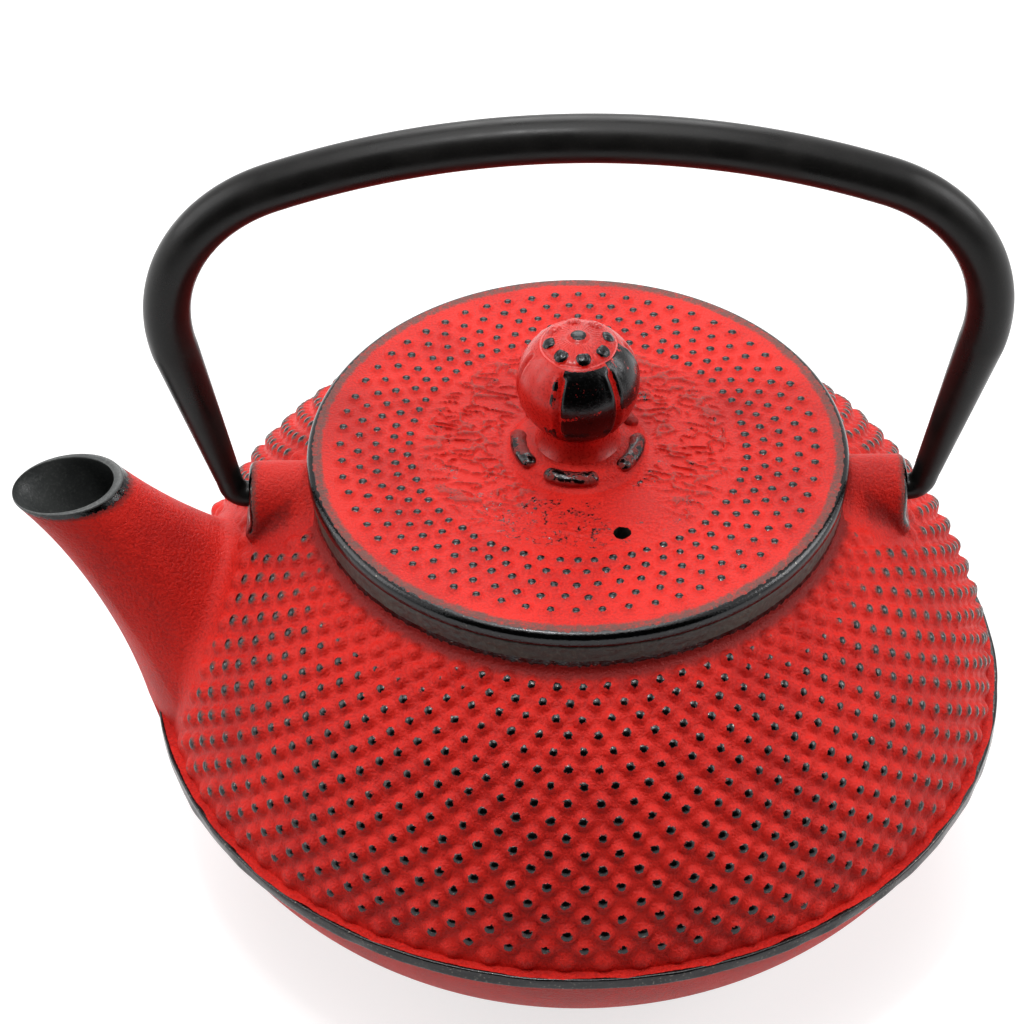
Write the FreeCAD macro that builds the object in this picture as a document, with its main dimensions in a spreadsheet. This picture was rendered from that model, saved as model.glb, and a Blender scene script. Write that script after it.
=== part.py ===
# A cast iron teapot: hobnail-type pot with a flared spout, a lift-off lid with a ball knob,
# a lift-out tea strainer and an arched handle that swings on two elbow pins.
# Millimetres. The origin is the middle of the base, on the table; +Z is up and the spout points to -X.

import FreeCAD
import Part
import math
import os
import Sketcher
from FreeCAD import Placement, Rotation, Vector

# Driving sizes: name, millimetres or degrees, meaning
SIZES = [
    ("girth_radius", 76.0, "radius of the ridge between bowl and shoulder"),
    ("girth_height", 36.0, "height of the middle of that ridge"),
    ("ridge_thickness", 1.4, "thickness of the girth ridge"),
    ("ridge_over_shoulder", 2.2, "how far the ridge stands out of the shoulder"),
    ("ridge_over_bowl", 1.0, "how far the ridge stands out of the bowl"),
    ("base_radius", 38.0, "radius of the flat base"),
    ("bowl_arc", 51.0, "radius of the bowl's outline"),
    ("shoulder_arc", 59.9, "radius of the shoulder's outline"),
    ("shoulder_drop", 7.53, "how far the middle of that arc lies below the girth"),
    ("wall", 3.5, "thickness of the casting"),
    ("stud_count", 72, "number of hobnails in a whole ring"),
    ("stud_top_angle", 55.6, "direction of the uppermost ring from the middle of the shoulder's arc"),
    ("stud_ring_step", 2.508, "angle from ring to ring at the top of that arc"),
    ("stud_ring_growth", 0.0111, "growth of that angle towards the girth"),
    ("stud_radius", 1.6, "radius of a hobnail at its foot"),
    ("stud_tip_radius", 0.75, "radius of its flat tip"),
    ("stud_height", 0.9, "height of a hobnail"),
    ("stud_sink", 0.5, "depth of its foot below the shoulder's outline"),
    ("stud_spout_gap", 27.5, "angle to each side of the spout that has no hobnails"),
    ("ring_radius", 46.0, "outer radius of the mouth ring"),
    ("ring_height", 5.6, "height of the mouth ring above the shoulder"),
    ("ring_width", 6.6, "width of the mouth ring, from its outside to the mouth"),
    ("rebate_width", 3.2, "width of the rebate for the strainer's rim"),
    ("rebate_depth", 1.2, "depth of that rebate"),
    ("floor_flare", 3.0, "how far the flat floor inside reaches beyond the base's radius"),
    ("floor_height", 4.2, "height of that floor"),
    ("spout_reach", 12.6, "how far the middle of the spout's mouth lies outside the girth"),
    ("spout_drop", 5.0, "how far the middle of the spout's mouth lies below the mouth ring's top"),
    ("spout_lean", 38.0, "angle of the spout from upright"),
    ("spout_length", 46.0, "length of the spout along its axis"),
    ("spout_tip_radius", 8.4, "outer radius of the spout at its tip"),
    ("spout_root_radius", 21.5, "outer radius of the spout at its root"),
    ("spout_flare_arc", 101.5, "radius of the spout's hollow outline"),
    ("spout_bore_tip", 6.7, "radius of the spout's bore at the tip"),
    ("spout_bore_root", 10.5, "radius of the spout's bore at the root"),
    ("spout_mouth_tilt", 8.0, "slope of the spout's cut mouth, down towards the lip"),
    ("ear_rise", 7.15, "height of the pivot axis above the shoulder at the ears' end faces"),
    ("ear_radius", 5.7, "radius of the ears' rounded top"),
    ("ear_round", 1.4, "rounding of the ears' end edges"),
    ("ear_depth", 2.85, "how far the ears run down into the shoulder there"),
    ("axis_drop", 7.0, "how far the handle's pivot axis lies below the mouth ring's top"),
    ("pin_radius", 2.3, "radius of the elbow pins"),
    ("pin_depth", 6.4, "length of a pin inside its ear"),
    ("pin_clearance", 0.06, "radial clearance of a pin in its ear"),
    ("pin_end_gap", 0.8, "gap between a pin's end and the bottom of its hole"),
    ("elbow_radius", 2.9, "bend radius of the elbow pins"),
    ("elbow_reach", 2.63, "distance of an elbow pin's corner from its ear"),
    ("plug_length", 8.0, "length of a pin's plug inside the tube"),
    ("plug_clearance", 0.05, "radial clearance of the plug at the tube's end"),
    ("handle_rise", 75.5, "height of the handle's middle above its pivots"),
    ("crown_arc", 140.0, "radius of the handle's flat top arc"),
    ("handle_bend", 28.67, "radius of the handle's bends"),
    ("handle_lean", 14.0, "inward lean of the handle's legs"),
    ("handle_radius", 4.0, "radius of the handle's tube"),
    ("handle_end_radius", 2.5, "radius of the tube where its legs end"),
    ("handle_end_height", 4.4, "height of those ends above the pivots"),
    ("handle_wall", 1.0, "wall of the handle's tube"),
    ("handle_end_wall", 0.8, "wall of the tube where its legs end"),
    ("lid_overhang", 0.6, "how far the lid stands out over the mouth ring"),
    ("lid_thickness", 3.0, "thickness of the lid"),
    ("lid_top_round", 1.4, "rounding of the lid's upper edge"),
    ("lid_under_round", 0.8, "rounding of the lid's lower edge"),
    ("flange_gap", 0.8, "gap between the flange under the lid and the strainer's mesh"),
    ("flange_width", 2.6, "width of that flange"),
    ("flange_depth", 7.0, "depth of that flange"),
    ("steam_hole_radius", 1.5, "radius of the steam hole"),
    ("steam_hole_reach", 23.1, "distance of the steam hole from the lid's middle"),
    ("steam_hole_angle", -72.5, "direction of the steam hole"),
    ("seat_ring_radius", 9.2, "radius of the knob seat's disc"),
    ("seat_top_radius", 7.7, "radius of the knob seat's top"),
    ("seat_thickness", 2.2, "height of the knob seat"),
    ("seat_disc_edge", 0.8, "height of the edge of the knob seat's disc"),
    ("petal_offset", 1.0, "how far the circle of petal beads lies outside that disc"),
    ("petal_bead", 1.25, "radius of a petal bead"),
    ("petal_arc", 56.0, "angle that one petal bead covers"),
    ("petal_turn", 26.0, "turn of the ring of petals about the lid's axis"),
    ("petal_count", 5, "number of petals"),
    ("knob_radius", 10.4, "radius of the knob's ball"),
    ("knob_centre", 14.8, "height of the ball's middle above the lid"),
    ("knob_neck", 6.2, "radius of the knob's neck under the ball"),
    ("knob_foot", 7.4, "radius of the knob's foot"),
    ("knob_neck_arc", 6.0, "radius of the neck's hollow outline"),
    ("rosette_radius", 6.6, "radius of the disc on top of the knob"),
    ("rosette_arc", 14.0, "radius of that disc's dome"),
    ("groove_radius", 0.75, "radius of the knob's vertical grooves"),
    ("groove_arc", 84.0, "angle that a groove covers from top to bottom"),
    ("groove_turn", 9.5, "turn of the grooves about the lid's axis"),
    ("groove_count", 6, "number of grooves"),
    ("rivet_radius", 2.4, "radius of the knob's rivet"),
    ("rivet_clearance", 0.06, "radial clearance round the rivet"),
    ("rivet_head_radius", 4.2, "radius of the rivet's head"),
    ("rivet_head_height", 1.8, "height of the rivet's head"),
    ("washer_radius", 6.0, "radius of the washer under the lid"),
    ("washer_thickness", 1.0, "thickness of that washer"),
    ("mesh_inset", 1.4, "gap between the strainer's mesh wall and the mouth"),
    ("mesh_thickness", 0.6, "thickness of the strainer's mesh"),
    ("strainer_depth", 47.0, "depth of the strainer below its ledge"),
    ("strainer_sheet", 0.7, "sheet thickness of the strainer's rings"),
    ("strainer_collar", 5.0, "height of the collars that hold the mesh"),
    ("strainer_gap", 0.05, "gap between mesh and collars"),
    ("strainer_rim_gap", 0.4, "gap between the strainer's rim and its rebate"),
    ("strainer_ring_width", 5.0, "width of the shelf that carries the mesh floor"),
]

# Sizes that follow from the driving ones
# The shoulder's arc starts at the girth ridge and gives the height of all that stands on it.
RIDGE_LOW = "(dim.girth_height - dim.ridge_thickness / 2)"
RIDGE_HIGH = "(dim.girth_height + dim.ridge_thickness / 2)"
SHOULDER_FOOT = "(dim.girth_radius - dim.ridge_over_shoulder)"
SHOULDER_X = f"({SHOULDER_FOOT} - sqrt(dim.shoulder_arc^2 - (dim.shoulder_drop + dim.ridge_thickness / 2)^2))"
SHOULDER_Z = "(dim.girth_height - dim.shoulder_drop)"
RING_FOOT = f"({SHOULDER_Z} + sqrt(dim.shoulder_arc^2 - (dim.ring_radius - {SHOULDER_X})^2))"
SEAT_HEIGHT = f"({RING_FOOT} + dim.ring_height)"
AXIS_HEIGHT = f"({SEAT_HEIGHT} - dim.axis_drop)"
EAR_END = f"({AXIS_HEIGHT} - dim.ear_rise)"
EAR_REACH = f"({SHOULDER_X} + sqrt(dim.shoulder_arc^2 - ({EAR_END} - {SHOULDER_Z})^2))"
SPOUT_TIP_REACH = "(dim.girth_radius + dim.spout_reach)"
SPOUT_TIP_HEIGHT = f"({SEAT_HEIGHT} - dim.spout_drop)"

# Hobnails: six-sided, with sloping sides and a flat tip. The casting carries every second ring of the
# pattern, counted from the mouth ring down; the rings above the first one would run into the pin holes.
STUD_RINGS = range(3, 16, 2)
STUD_CORNERS = 6
STUD_SLOPE = "((dim.stud_radius - dim.stud_tip_radius) / dim.stud_height)"
STUD_FOOT_RADIUS = f"(dim.stud_radius + dim.stud_sink * {STUD_SLOPE})"
STUD_SPREAD = "(360 - 2 * dim.stud_spout_gap)"

# Lid, knob and strainer, which follow the mouth ring
MOUTH_RADIUS = "(dim.ring_radius - dim.ring_width)"
REBATE_RADIUS = f"({MOUTH_RADIUS} + dim.rebate_width)"
LEDGE = f"({SEAT_HEIGHT} - dim.rebate_depth)"
LID_RADIUS = "(dim.ring_radius + dim.lid_overhang)"
LID_TOP = f"({SEAT_HEIGHT} + dim.lid_thickness)"
KNOB_FOOT_HEIGHT = f"({LID_TOP} + dim.seat_thickness)"
BALL_HEIGHT = f"({LID_TOP} + dim.knob_centre)"
PETAL_RADIUS = "(dim.seat_ring_radius + dim.petal_offset)"
RIVET_HOLE = "(dim.rivet_radius + dim.rivet_clearance)"
STRAINER_BASE = f"({LEDGE} - dim.strainer_depth)"
MESH_RADIUS = f"({MOUTH_RADIUS} - dim.mesh_inset)"
MESH_INNER = f"({MESH_RADIUS} - dim.mesh_thickness)"
FLANGE_RADIUS = f"({MESH_INNER} - dim.flange_gap)"
COLLAR_INNER = f"({MESH_RADIUS} + dim.strainer_gap)"
COLLAR_OUTER = f"({COLLAR_INNER} + dim.strainer_sheet)"

# The handle's outline: a flat crown arc, a tighter bend at each side and straight legs that lean in.
# A leg starts at the elbow's corner. Its length follows from the bend, which touches leg and crown.
# START_X and START_Z lead from the crown's centre to the bend's centre for a leg of no length.
ELBOW_CORNER = f"({EAR_REACH} + dim.elbow_reach)"
START_X = f"({ELBOW_CORNER} - dim.handle_bend * cos(dim.handle_lean))"
START_Z = "(dim.handle_bend * sin(dim.handle_lean) + dim.crown_arc - dim.handle_rise)"
ALONG = f"({START_X} * sin(dim.handle_lean) + {START_Z} * cos(dim.handle_lean))"
ACROSS = f"({START_X} * cos(dim.handle_lean) - {START_Z} * sin(dim.handle_lean))"
LEG = f"(sqrt((dim.crown_arc - dim.handle_bend)^2 - {ACROSS}^2) - {ALONG})"
LEG_X = f"({ELBOW_CORNER} + {LEG} * sin(dim.handle_lean))"
LEG_RISE = f"({LEG} * cos(dim.handle_lean))"
LEG_LENGTH = f"({LEG} - dim.handle_end_height / cos(dim.handle_lean))"
CROWN_SHARE = "(dim.crown_arc / (dim.crown_arc - dim.handle_bend))"
CROWN_END_X = f"({CROWN_SHARE} * ({START_X} + {LEG} * sin(dim.handle_lean)))"
CROWN_END_RISE = (
    f"(dim.handle_rise - dim.crown_arc + {CROWN_SHARE} * ({START_Z} + {LEG} * cos(dim.handle_lean)))"
)
ELBOW_TANGENT = "(dim.elbow_radius * tan(45 - dim.handle_lean / 2))"


def add_sheet(doc):
    """Write the driving sizes into a spreadsheet, one alias each."""
    sheet = doc.addObject("Spreadsheet::Sheet", "dim")
    for row, (alias, size, meaning) in enumerate(SIZES, start=1):
        sheet.set(f"A{row}", meaning)
        sheet.set(f"B{row}", str(size))
        sheet.setAlias(f"B{row}", alias)
    doc.recompute()


def number(owner, expression):
    """Work out an expression on the sheet's sizes."""
    return float(owner.evalExpression(expression))


def new_body(doc, name):
    """Start a sub-part that is named for its piece."""
    body = doc.addObject("PartDesign::Body", name)
    body.Label = name
    return body


def origin_feature(body, role):
    """Find one of a body's own origin planes or axes."""
    return next(feature for feature in body.Origin.OriginFeatures if feature.Role == role)


def attach(item, support, turn_axis=None, **bindings):
    """Lay a sketch or plane on a plane, shifted by x, y, z and turned by angle, all bound to the sheet."""
    item.AttachmentSupport = [(support, "")]
    item.MapMode = "FlatFace"
    angle = bindings.pop("angle", None)
    if angle is not None:
        turn = Rotation(turn_axis or Vector(0, 0, 1), number(item, angle))
        item.AttachmentOffset = Placement(Vector(0, 0, 0), turn)
        item.setExpression("AttachmentOffset.Rotation.Angle", angle)
    for axis, expression in bindings.items():
        item.setExpression(f"AttachmentOffset.Base.{axis}", expression)


def new_sketch(body, name, role, turn_axis=None, **bindings):
    """Start a sketch on one of the origin planes, placed as in attach."""
    sketch = body.newObject("Sketcher::SketchObject", name)
    attach(sketch, origin_feature(body, role), turn_axis, **bindings)
    return sketch


def arc_between(start, finish, radius, side):
    """Make the short arc from start to finish that bulges to the left (1) or right (-1) of the way."""
    chord = finish - start
    left = Vector(-chord.y, chord.x, 0).normalize()
    inset = math.sqrt(radius**2 - (chord.Length / 2) ** 2)
    centre = (start + finish) * 0.5 - left * (side * inset)
    first, last = (finish, start) if side > 0 else (start, finish)
    angles = [math.atan2(point.y - centre.y, point.x - centre.x) for point in (first, last)]
    return Part.ArcOfCircle(Part.Circle(centre, Vector(0, 0, 1), radius), *angles)


def bind(sketch, constraint, expression):
    """Add a constraint whose value follows an expression."""
    index = sketch.addConstraint(constraint)
    sketch.setExpression(f"Constraints[{index}]", expression)


def place_point(sketch, geometry, end, corner):
    """Fix one end of a line or arc at a corner given as two expressions."""
    for expression, kind, axis in zip(corner, ("DistanceX", "DistanceY"), (-2, -1)):
        if expression == "0":
            sketch.addConstraint(Sketcher.Constraint("PointOnObject", geometry, end, axis))
        else:
            size = number(sketch, expression)
            bind(sketch, Sketcher.Constraint(kind, -1, 1, geometry, end, size), expression)


def draw_path(sketch, corners, arcs=None, closed=True):
    """Draw lines through the corners; a side listed in arcs by its first corner is an arc (radius, side)."""
    arcs = arcs or {}
    points = [Vector(number(sketch, x), number(sketch, y), 0) for x, y in corners]
    side_count = len(points) if closed else len(points) - 1
    ends = []
    for index in range(side_count):
        start = points[index]
        finish = points[(index + 1) % len(points)]
        if index in arcs:
            radius, side = arcs[index]
            geometry = sketch.addGeometry(arc_between(start, finish, number(sketch, radius), side), False)
            bind(sketch, Sketcher.Constraint("Radius", geometry, number(sketch, radius)), radius)
            ends.append((geometry, 2, 1) if side > 0 else (geometry, 1, 2))
        else:
            geometry = sketch.addGeometry(Part.LineSegment(start, finish), False)
            ends.append((geometry, 1, 2))
    for index, (geometry, first, last) in enumerate(ends):
        place_point(sketch, geometry, first, corners[index])
        if index + 1 < side_count or closed:
            following = ends[(index + 1) % side_count]
            joint = Sketcher.Constraint("Coincident", geometry, last, following[0], following[1])
            sketch.addConstraint(joint)
        else:
            place_point(sketch, geometry, last, corners[-1])


def draw_circle(sketch, x, y, radius):
    """Draw a circle whose middle and radius follow expressions."""
    centre = Vector(number(sketch, x), number(sketch, y), 0)
    circle = Part.Circle(centre, Vector(0, 0, 1), number(sketch, radius))
    geometry = sketch.addGeometry(circle, False)
    place_point(sketch, geometry, 3, (x, y))
    bind(sketch, Sketcher.Constraint("Radius", geometry, number(sketch, radius)), radius)


def rectangle(left, low, right, high):
    """List the corners of an upright rectangle."""
    return [(left, low), (right, low), (right, high), (left, high)]


def turn(body, name, sketch, kind="PartDesign::Revolution", angle=None):
    """Turn a profile about its sketch's upright axis, all the way or by an angle to both sides."""
    feature = body.newObject(kind, name)
    feature.Profile = sketch
    feature.ReferenceAxis = (sketch, ["V_Axis"])
    feature.Angle = 360
    if angle is not None:
        feature.Midplane = True
        feature.setExpression("Angle", angle)
    return feature


def extrude(body, name, sketch, length, kind="PartDesign::Pad", reverse=False, both_ways=False):
    """Pad a profile, or pocket it, by a length."""
    feature = body.newObject(kind, name)
    feature.Profile = sketch
    feature.Reversed = reverse
    feature.Midplane = both_ways
    feature.setExpression("Length", length)
    return feature


def sweep(body, name, profile, spine, kind="PartDesign::AdditivePipe"):
    """Carry a profile along a spine."""
    feature = body.newObject(kind, name)
    feature.Profile = profile
    feature.Spine = (spine, [])
    return feature


def ring_of(body, name, original, count):
    """Repeat a feature round the upright axis."""
    pattern = body.newObject("PartDesign::PolarPattern", name)
    pattern.Originals = [original]
    pattern.Axis = (origin_feature(body, "Z_Axis"), [""])
    pattern.Angle = 360
    pattern.setExpression("Occurrences", count)
    body.Tip = pattern
    return pattern


def mirror(body, name, originals):
    """Repeat features on the other side of the YZ plane."""
    mirrored = body.newObject("PartDesign::Mirrored", name)
    mirrored.Originals = originals
    mirrored.MirrorPlane = (origin_feature(body, "YZ_Plane"), [""])
    body.Tip = mirrored
    return mirrored


def profile_turn(body, name, corners, arcs=None, kind="PartDesign::Revolution"):
    """Draw an outline in the XZ plane and turn it about the pot's axis."""
    sketch = new_sketch(body, f"{name}_outline", "XZ_Plane")
    draw_path(sketch, corners, arcs)
    return turn(body, name, sketch, kind)


def spout_sketch(body, name):
    """Start a sketch whose upright axis is the spout's, with its origin in the middle of the mouth."""
    return new_sketch(
        body, name, "XZ_Plane", angle="dim.spout_lean", x=f"-{SPOUT_TIP_REACH}", y=SPOUT_TIP_HEIGHT
    )


def make_hobnails(doc):
    """The shoulder's hobnails, still apart from the casting: rings of studs that leave the spout free."""
    body = new_body(doc, "hobnails")
    body.AllowCompound = True
    start = body.newObject("PartDesign::Plane", "hobnail_plane")
    attach(start, origin_feature(body, "YZ_Plane"), Vector(0, 1, 0), angle="180 + dim.stud_spout_gap")
    foot = "(dim.shoulder_arc - dim.stud_sink)"
    turns = [360 * corner / STUD_CORNERS for corner in range(STUD_CORNERS)]
    corners = [(f"{STUD_FOOT_RADIUS} * cos({turn})", f"{STUD_FOOT_RADIUS} * sin({turn})") for turn in turns]
    studs = []
    for ring in STUD_RINGS:
        slope = f"(dim.stud_top_angle - {ring} * dim.stud_ring_step - {ring**2} * dim.stud_ring_growth)"
        outline = body.newObject("Sketcher::SketchObject", f"hobnail_{ring}_outline")
        attach(
            outline,
            start,
            Vector(-1, 0, 0),
            angle=slope,
            y=f"{SHOULDER_Z} + {foot} * sin({slope})",
            z=f"{SHOULDER_X} + {foot} * cos({slope})",
        )
        draw_path(outline, corners)
        stud = extrude(body, f"hobnail_{ring}", outline, "dim.stud_sink + dim.stud_height")
        stud.setExpression("TaperAngle", f"-atan({STUD_SLOPE} * cos(180 / {STUD_CORNERS}))")
        studs.append(stud)
    rings = ring_of(body, "hobnail_rings", studs[0], f"round({STUD_SPREAD} * dim.stud_count / 360) + 1")
    rings.Originals = studs
    rings.setExpression("Angle", STUD_SPREAD)
    return body


def make_pot_body(doc):
    """The casting: spout, bowl and shoulder, ears, cavity, spout bore and pin holes."""
    body = new_body(doc, "pot_body")
    inner_girth = f"({SHOULDER_FOOT} - dim.wall)"
    floor_radius = "(dim.base_radius + dim.floor_flare)"

    # The spout is turned about its own leaning axis and ends flat at the girth ridge.
    past_tip = "(2 * dim.spout_tip_radius)"
    outline = spout_sketch(body, "spout_outline")
    draw_path(
        outline,
        [
            ("0", "-dim.spout_length"),
            ("dim.spout_root_radius", "-dim.spout_length"),
            ("dim.spout_tip_radius", "0"),
            ("dim.spout_tip_radius", past_tip),
            ("0", past_tip),
        ],
        {1: ("dim.spout_flare_arc", 1)},
    )
    turn(body, "spout", outline)
    foot = new_sketch(body, "spout_foot_plane", "XY_Plane", z=RIDGE_LOW)
    draw_path(
        foot,
        rectangle("-2 * dim.girth_radius", "-dim.girth_radius", "dim.girth_radius", "dim.girth_radius"),
    )
    extrude(body, "spout_foot", foot, "dim.girth_height", "PartDesign::Pocket")

    # Bowl, girth ridge, shoulder and mouth ring
    profile_turn(
        body,
        "shell",
        [
            ("0", "0"),
            ("dim.base_radius", "0"),
            ("dim.girth_radius - dim.ridge_over_bowl", RIDGE_LOW),
            ("dim.girth_radius", RIDGE_LOW),
            ("dim.girth_radius", RIDGE_HIGH),
            (SHOULDER_FOOT, RIDGE_HIGH),
            ("dim.ring_radius", RING_FOOT),
            ("dim.ring_radius", SEAT_HEIGHT),
            ("0", SEAT_HEIGHT),
        ],
        {1: ("dim.bowl_arc", -1), 5: ("dim.shoulder_arc", -1)},
    )

    # One round-topped bar makes both ears: the cavity takes its middle away.
    ear = new_sketch(body, "ear_outline", "YZ_Plane")
    ear_foot = f"{EAR_END} - dim.ear_depth"
    ear_top = f"{AXIS_HEIGHT} + dim.ear_radius"
    draw_path(
        ear,
        [
            ("-dim.ear_radius", ear_foot),
            ("dim.ear_radius", ear_foot),
            ("dim.ear_radius", AXIS_HEIGHT),
            ("0", ear_top),
            ("-dim.ear_radius", AXIS_HEIGHT),
        ],
        {2: ("dim.ear_radius", -1), 3: ("dim.ear_radius", -1)},
    )
    extrude(body, "ears", ear, f"2 * {EAR_REACH}", both_ways=True)

    # Inside of the pot, with the mouth and the rebate for the strainer's rim
    above_seat = f"({SEAT_HEIGHT} + dim.rebate_depth)"
    mouth_foot = f"({RING_FOOT} - 0.1 * dim.wall)"
    profile_turn(
        body,
        "cavity",
        [
            ("0", "dim.floor_height"),
            (floor_radius, "dim.floor_height"),
            (inner_girth, "dim.girth_height"),
            (MOUTH_RADIUS, mouth_foot),
            (MOUTH_RADIUS, LEDGE),
            (REBATE_RADIUS, LEDGE),
            (REBATE_RADIUS, above_seat),
            ("0", above_seat),
        ],
        {1: ("dim.bowl_arc - dim.wall", -1), 2: ("dim.shoulder_arc - dim.wall", -1)},
        "PartDesign::Groove",
    )
    bore = spout_sketch(body, "spout_bore_outline")
    draw_path(
        bore,
        [
            ("0", "-dim.spout_length"),
            ("dim.spout_bore_root", "-dim.spout_length"),
            ("dim.spout_bore_tip", "0"),
            ("dim.spout_bore_tip", f"1.5 * {past_tip}"),
            ("0", f"1.5 * {past_tip}"),
        ],
    )
    turn(body, "spout_bore", bore, "PartDesign::Groove")

    # The spout's mouth is cut almost level, a little lower at the lip.
    mouth = new_sketch(
        body,
        "spout_mouth_plane",
        "XY_Plane",
        turn_axis=Vector(0, -1, 0),
        angle="dim.spout_mouth_tilt",
        x=f"-{SPOUT_TIP_REACH}",
        z=SPOUT_TIP_HEIGHT,
    )
    draw_path(
        mouth,
        rectangle(
            "-4 * dim.spout_tip_radius",
            "-2 * dim.spout_tip_radius",
            "2 * dim.spout_tip_radius",
            "2 * dim.spout_tip_radius",
        ),
    )
    extrude(body, "spout_mouth", mouth, f"2 * {past_tip}", "PartDesign::Pocket", reverse=True)

    # Blind holes for the handle's pins
    hole = new_sketch(body, "pin_hole_outline", "YZ_Plane", z=EAR_REACH)
    draw_circle(hole, "0", AXIS_HEIGHT, "dim.pin_radius + dim.pin_clearance")
    pin_hole = extrude(body, "pin_hole", hole, "dim.pin_depth + dim.pin_end_gap", "PartDesign::Pocket")
    holes = mirror(body, "pin_holes", [pin_hole])

    # Rounded end edges on the ears, found by their place on the end faces
    doc.recompute()
    reach = number(body, EAR_REACH)
    ear_radius = number(body, "dim.ear_radius")
    edges = []
    for index, edge in enumerate(holes.Shape.Edges, start=1):
        box = edge.BoundBox
        on_end_face = abs(max(abs(box.XMin), abs(box.XMax)) - reach) < 1e-4 and box.XLength < 1e-4
        if on_end_face and box.ZMax > number(body, f"{AXIS_HEIGHT} + dim.pin_radius + dim.pin_clearance"):
            edges.append(f"Edge{index}")
        elif on_end_face and abs(max(abs(box.YMin), abs(box.YMax)) - ear_radius) < 1e-4:
            edges.append(f"Edge{index}")
    rounding = body.newObject("PartDesign::Fillet", "ear_rounding")
    rounding.Base = (holes, edges)
    rounding.setExpression("Radius", "dim.ear_round")
    body.Tip = rounding

    # Hobnails on the finished shoulder
    studded = body.newObject("PartDesign::Boolean", "hobnailed")
    studded.Type = "Fuse"
    studded.setObjects([make_hobnails(doc)])
    body.Tip = studded
    return body


def make_lid_plate(doc):
    """The lid: a flat plate with a rounded edge, a locating flange, a rivet hole and a steam hole."""
    body = new_body(doc, "lid_plate")
    flange_inner = f"({FLANGE_RADIUS} - dim.flange_width)"
    flange_foot = f"({SEAT_HEIGHT} - dim.flange_depth)"
    profile_turn(
        body,
        "plate",
        [
            (RIVET_HOLE, SEAT_HEIGHT),
            (flange_inner, SEAT_HEIGHT),
            (flange_inner, flange_foot),
            (FLANGE_RADIUS, flange_foot),
            (FLANGE_RADIUS, SEAT_HEIGHT),
            (f"{LID_RADIUS} - dim.lid_under_round", SEAT_HEIGHT),
            (LID_RADIUS, f"{SEAT_HEIGHT} + dim.lid_under_round"),
            (LID_RADIUS, f"{LID_TOP} - dim.lid_top_round"),
            (f"{LID_RADIUS} - dim.lid_top_round", LID_TOP),
            (RIVET_HOLE, LID_TOP),
        ],
        {5: ("dim.lid_under_round", -1), 7: ("dim.lid_top_round", -1)},
    )
    hole = new_sketch(body, "steam_hole_outline", "XY_Plane", z=LID_TOP)
    draw_circle(
        hole,
        "dim.steam_hole_reach * cos(dim.steam_hole_angle)",
        "dim.steam_hole_reach * sin(dim.steam_hole_angle)",
        "dim.steam_hole_radius",
    )
    extrude(body, "steam_hole", hole, "2 * dim.lid_thickness", "PartDesign::Pocket")
    return body


def make_knob_seat(doc):
    """The plum-blossom collar: a low cone with a ring of five raised petal beads."""
    body = new_body(doc, "knob_seat")
    profile_turn(
        body,
        "cone",
        [
            (RIVET_HOLE, LID_TOP),
            ("dim.seat_ring_radius", LID_TOP),
            ("dim.seat_ring_radius", f"{LID_TOP} + dim.seat_disc_edge"),
            ("dim.seat_top_radius", KNOB_FOOT_HEIGHT),
            (RIVET_HOLE, KNOB_FOOT_HEIGHT),
        ],
    )
    section = new_sketch(
        body, "petal_section", "XZ_Plane", turn_axis=Vector(0, -1, 0), angle="dim.petal_turn"
    )
    draw_path(
        section,
        [
            (f"{PETAL_RADIUS} - dim.petal_bead", LID_TOP),
            (f"{PETAL_RADIUS} + dim.petal_bead", LID_TOP),
            (PETAL_RADIUS, f"{LID_TOP} + dim.petal_bead"),
        ],
        {1: ("dim.petal_bead", -1), 2: ("dim.petal_bead", -1)},
    )
    petal = turn(body, "petal", section, angle="dim.petal_arc")
    ring_of(body, "petals", petal, "dim.petal_count")
    return body


def make_lid_knob(doc):
    """The knob: a ball on a short hollow neck, a domed disc on top and upright grooves round the side."""
    body = new_body(doc, "lid_knob")
    neck_drop = "sqrt(dim.knob_radius^2 - dim.knob_neck^2)"
    disc_rise = "sqrt(dim.knob_radius^2 - dim.rosette_radius^2)"
    dome = "(dim.rosette_arc - sqrt(dim.rosette_arc^2 - dim.rosette_radius^2))"
    profile_turn(
        body,
        "ball",
        [
            (RIVET_HOLE, KNOB_FOOT_HEIGHT),
            ("dim.knob_foot", KNOB_FOOT_HEIGHT),
            ("dim.knob_neck", f"{BALL_HEIGHT} - {neck_drop}"),
            ("dim.knob_radius", BALL_HEIGHT),
            ("dim.rosette_radius", f"{BALL_HEIGHT} + {disc_rise}"),
            ("0", f"{BALL_HEIGHT} + {disc_rise} + {dome}"),
            ("0", BALL_HEIGHT),
            (RIVET_HOLE, BALL_HEIGHT),
        ],
        {
            1: ("dim.knob_neck_arc", 1),
            2: ("dim.knob_radius", -1),
            3: ("dim.knob_radius", -1),
            4: ("dim.rosette_arc", -1),
        },
    )
    section = new_sketch(body, "groove_section", "XY_Plane", angle="dim.groove_turn", z=BALL_HEIGHT)
    draw_circle(section, "dim.knob_radius + dim.groove_radius / 4", "0", "dim.groove_radius")
    groove = turn(body, "groove", section, "PartDesign::Groove", "dim.groove_arc")
    ring_of(body, "grooves", groove, "dim.groove_count")
    return body


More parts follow.
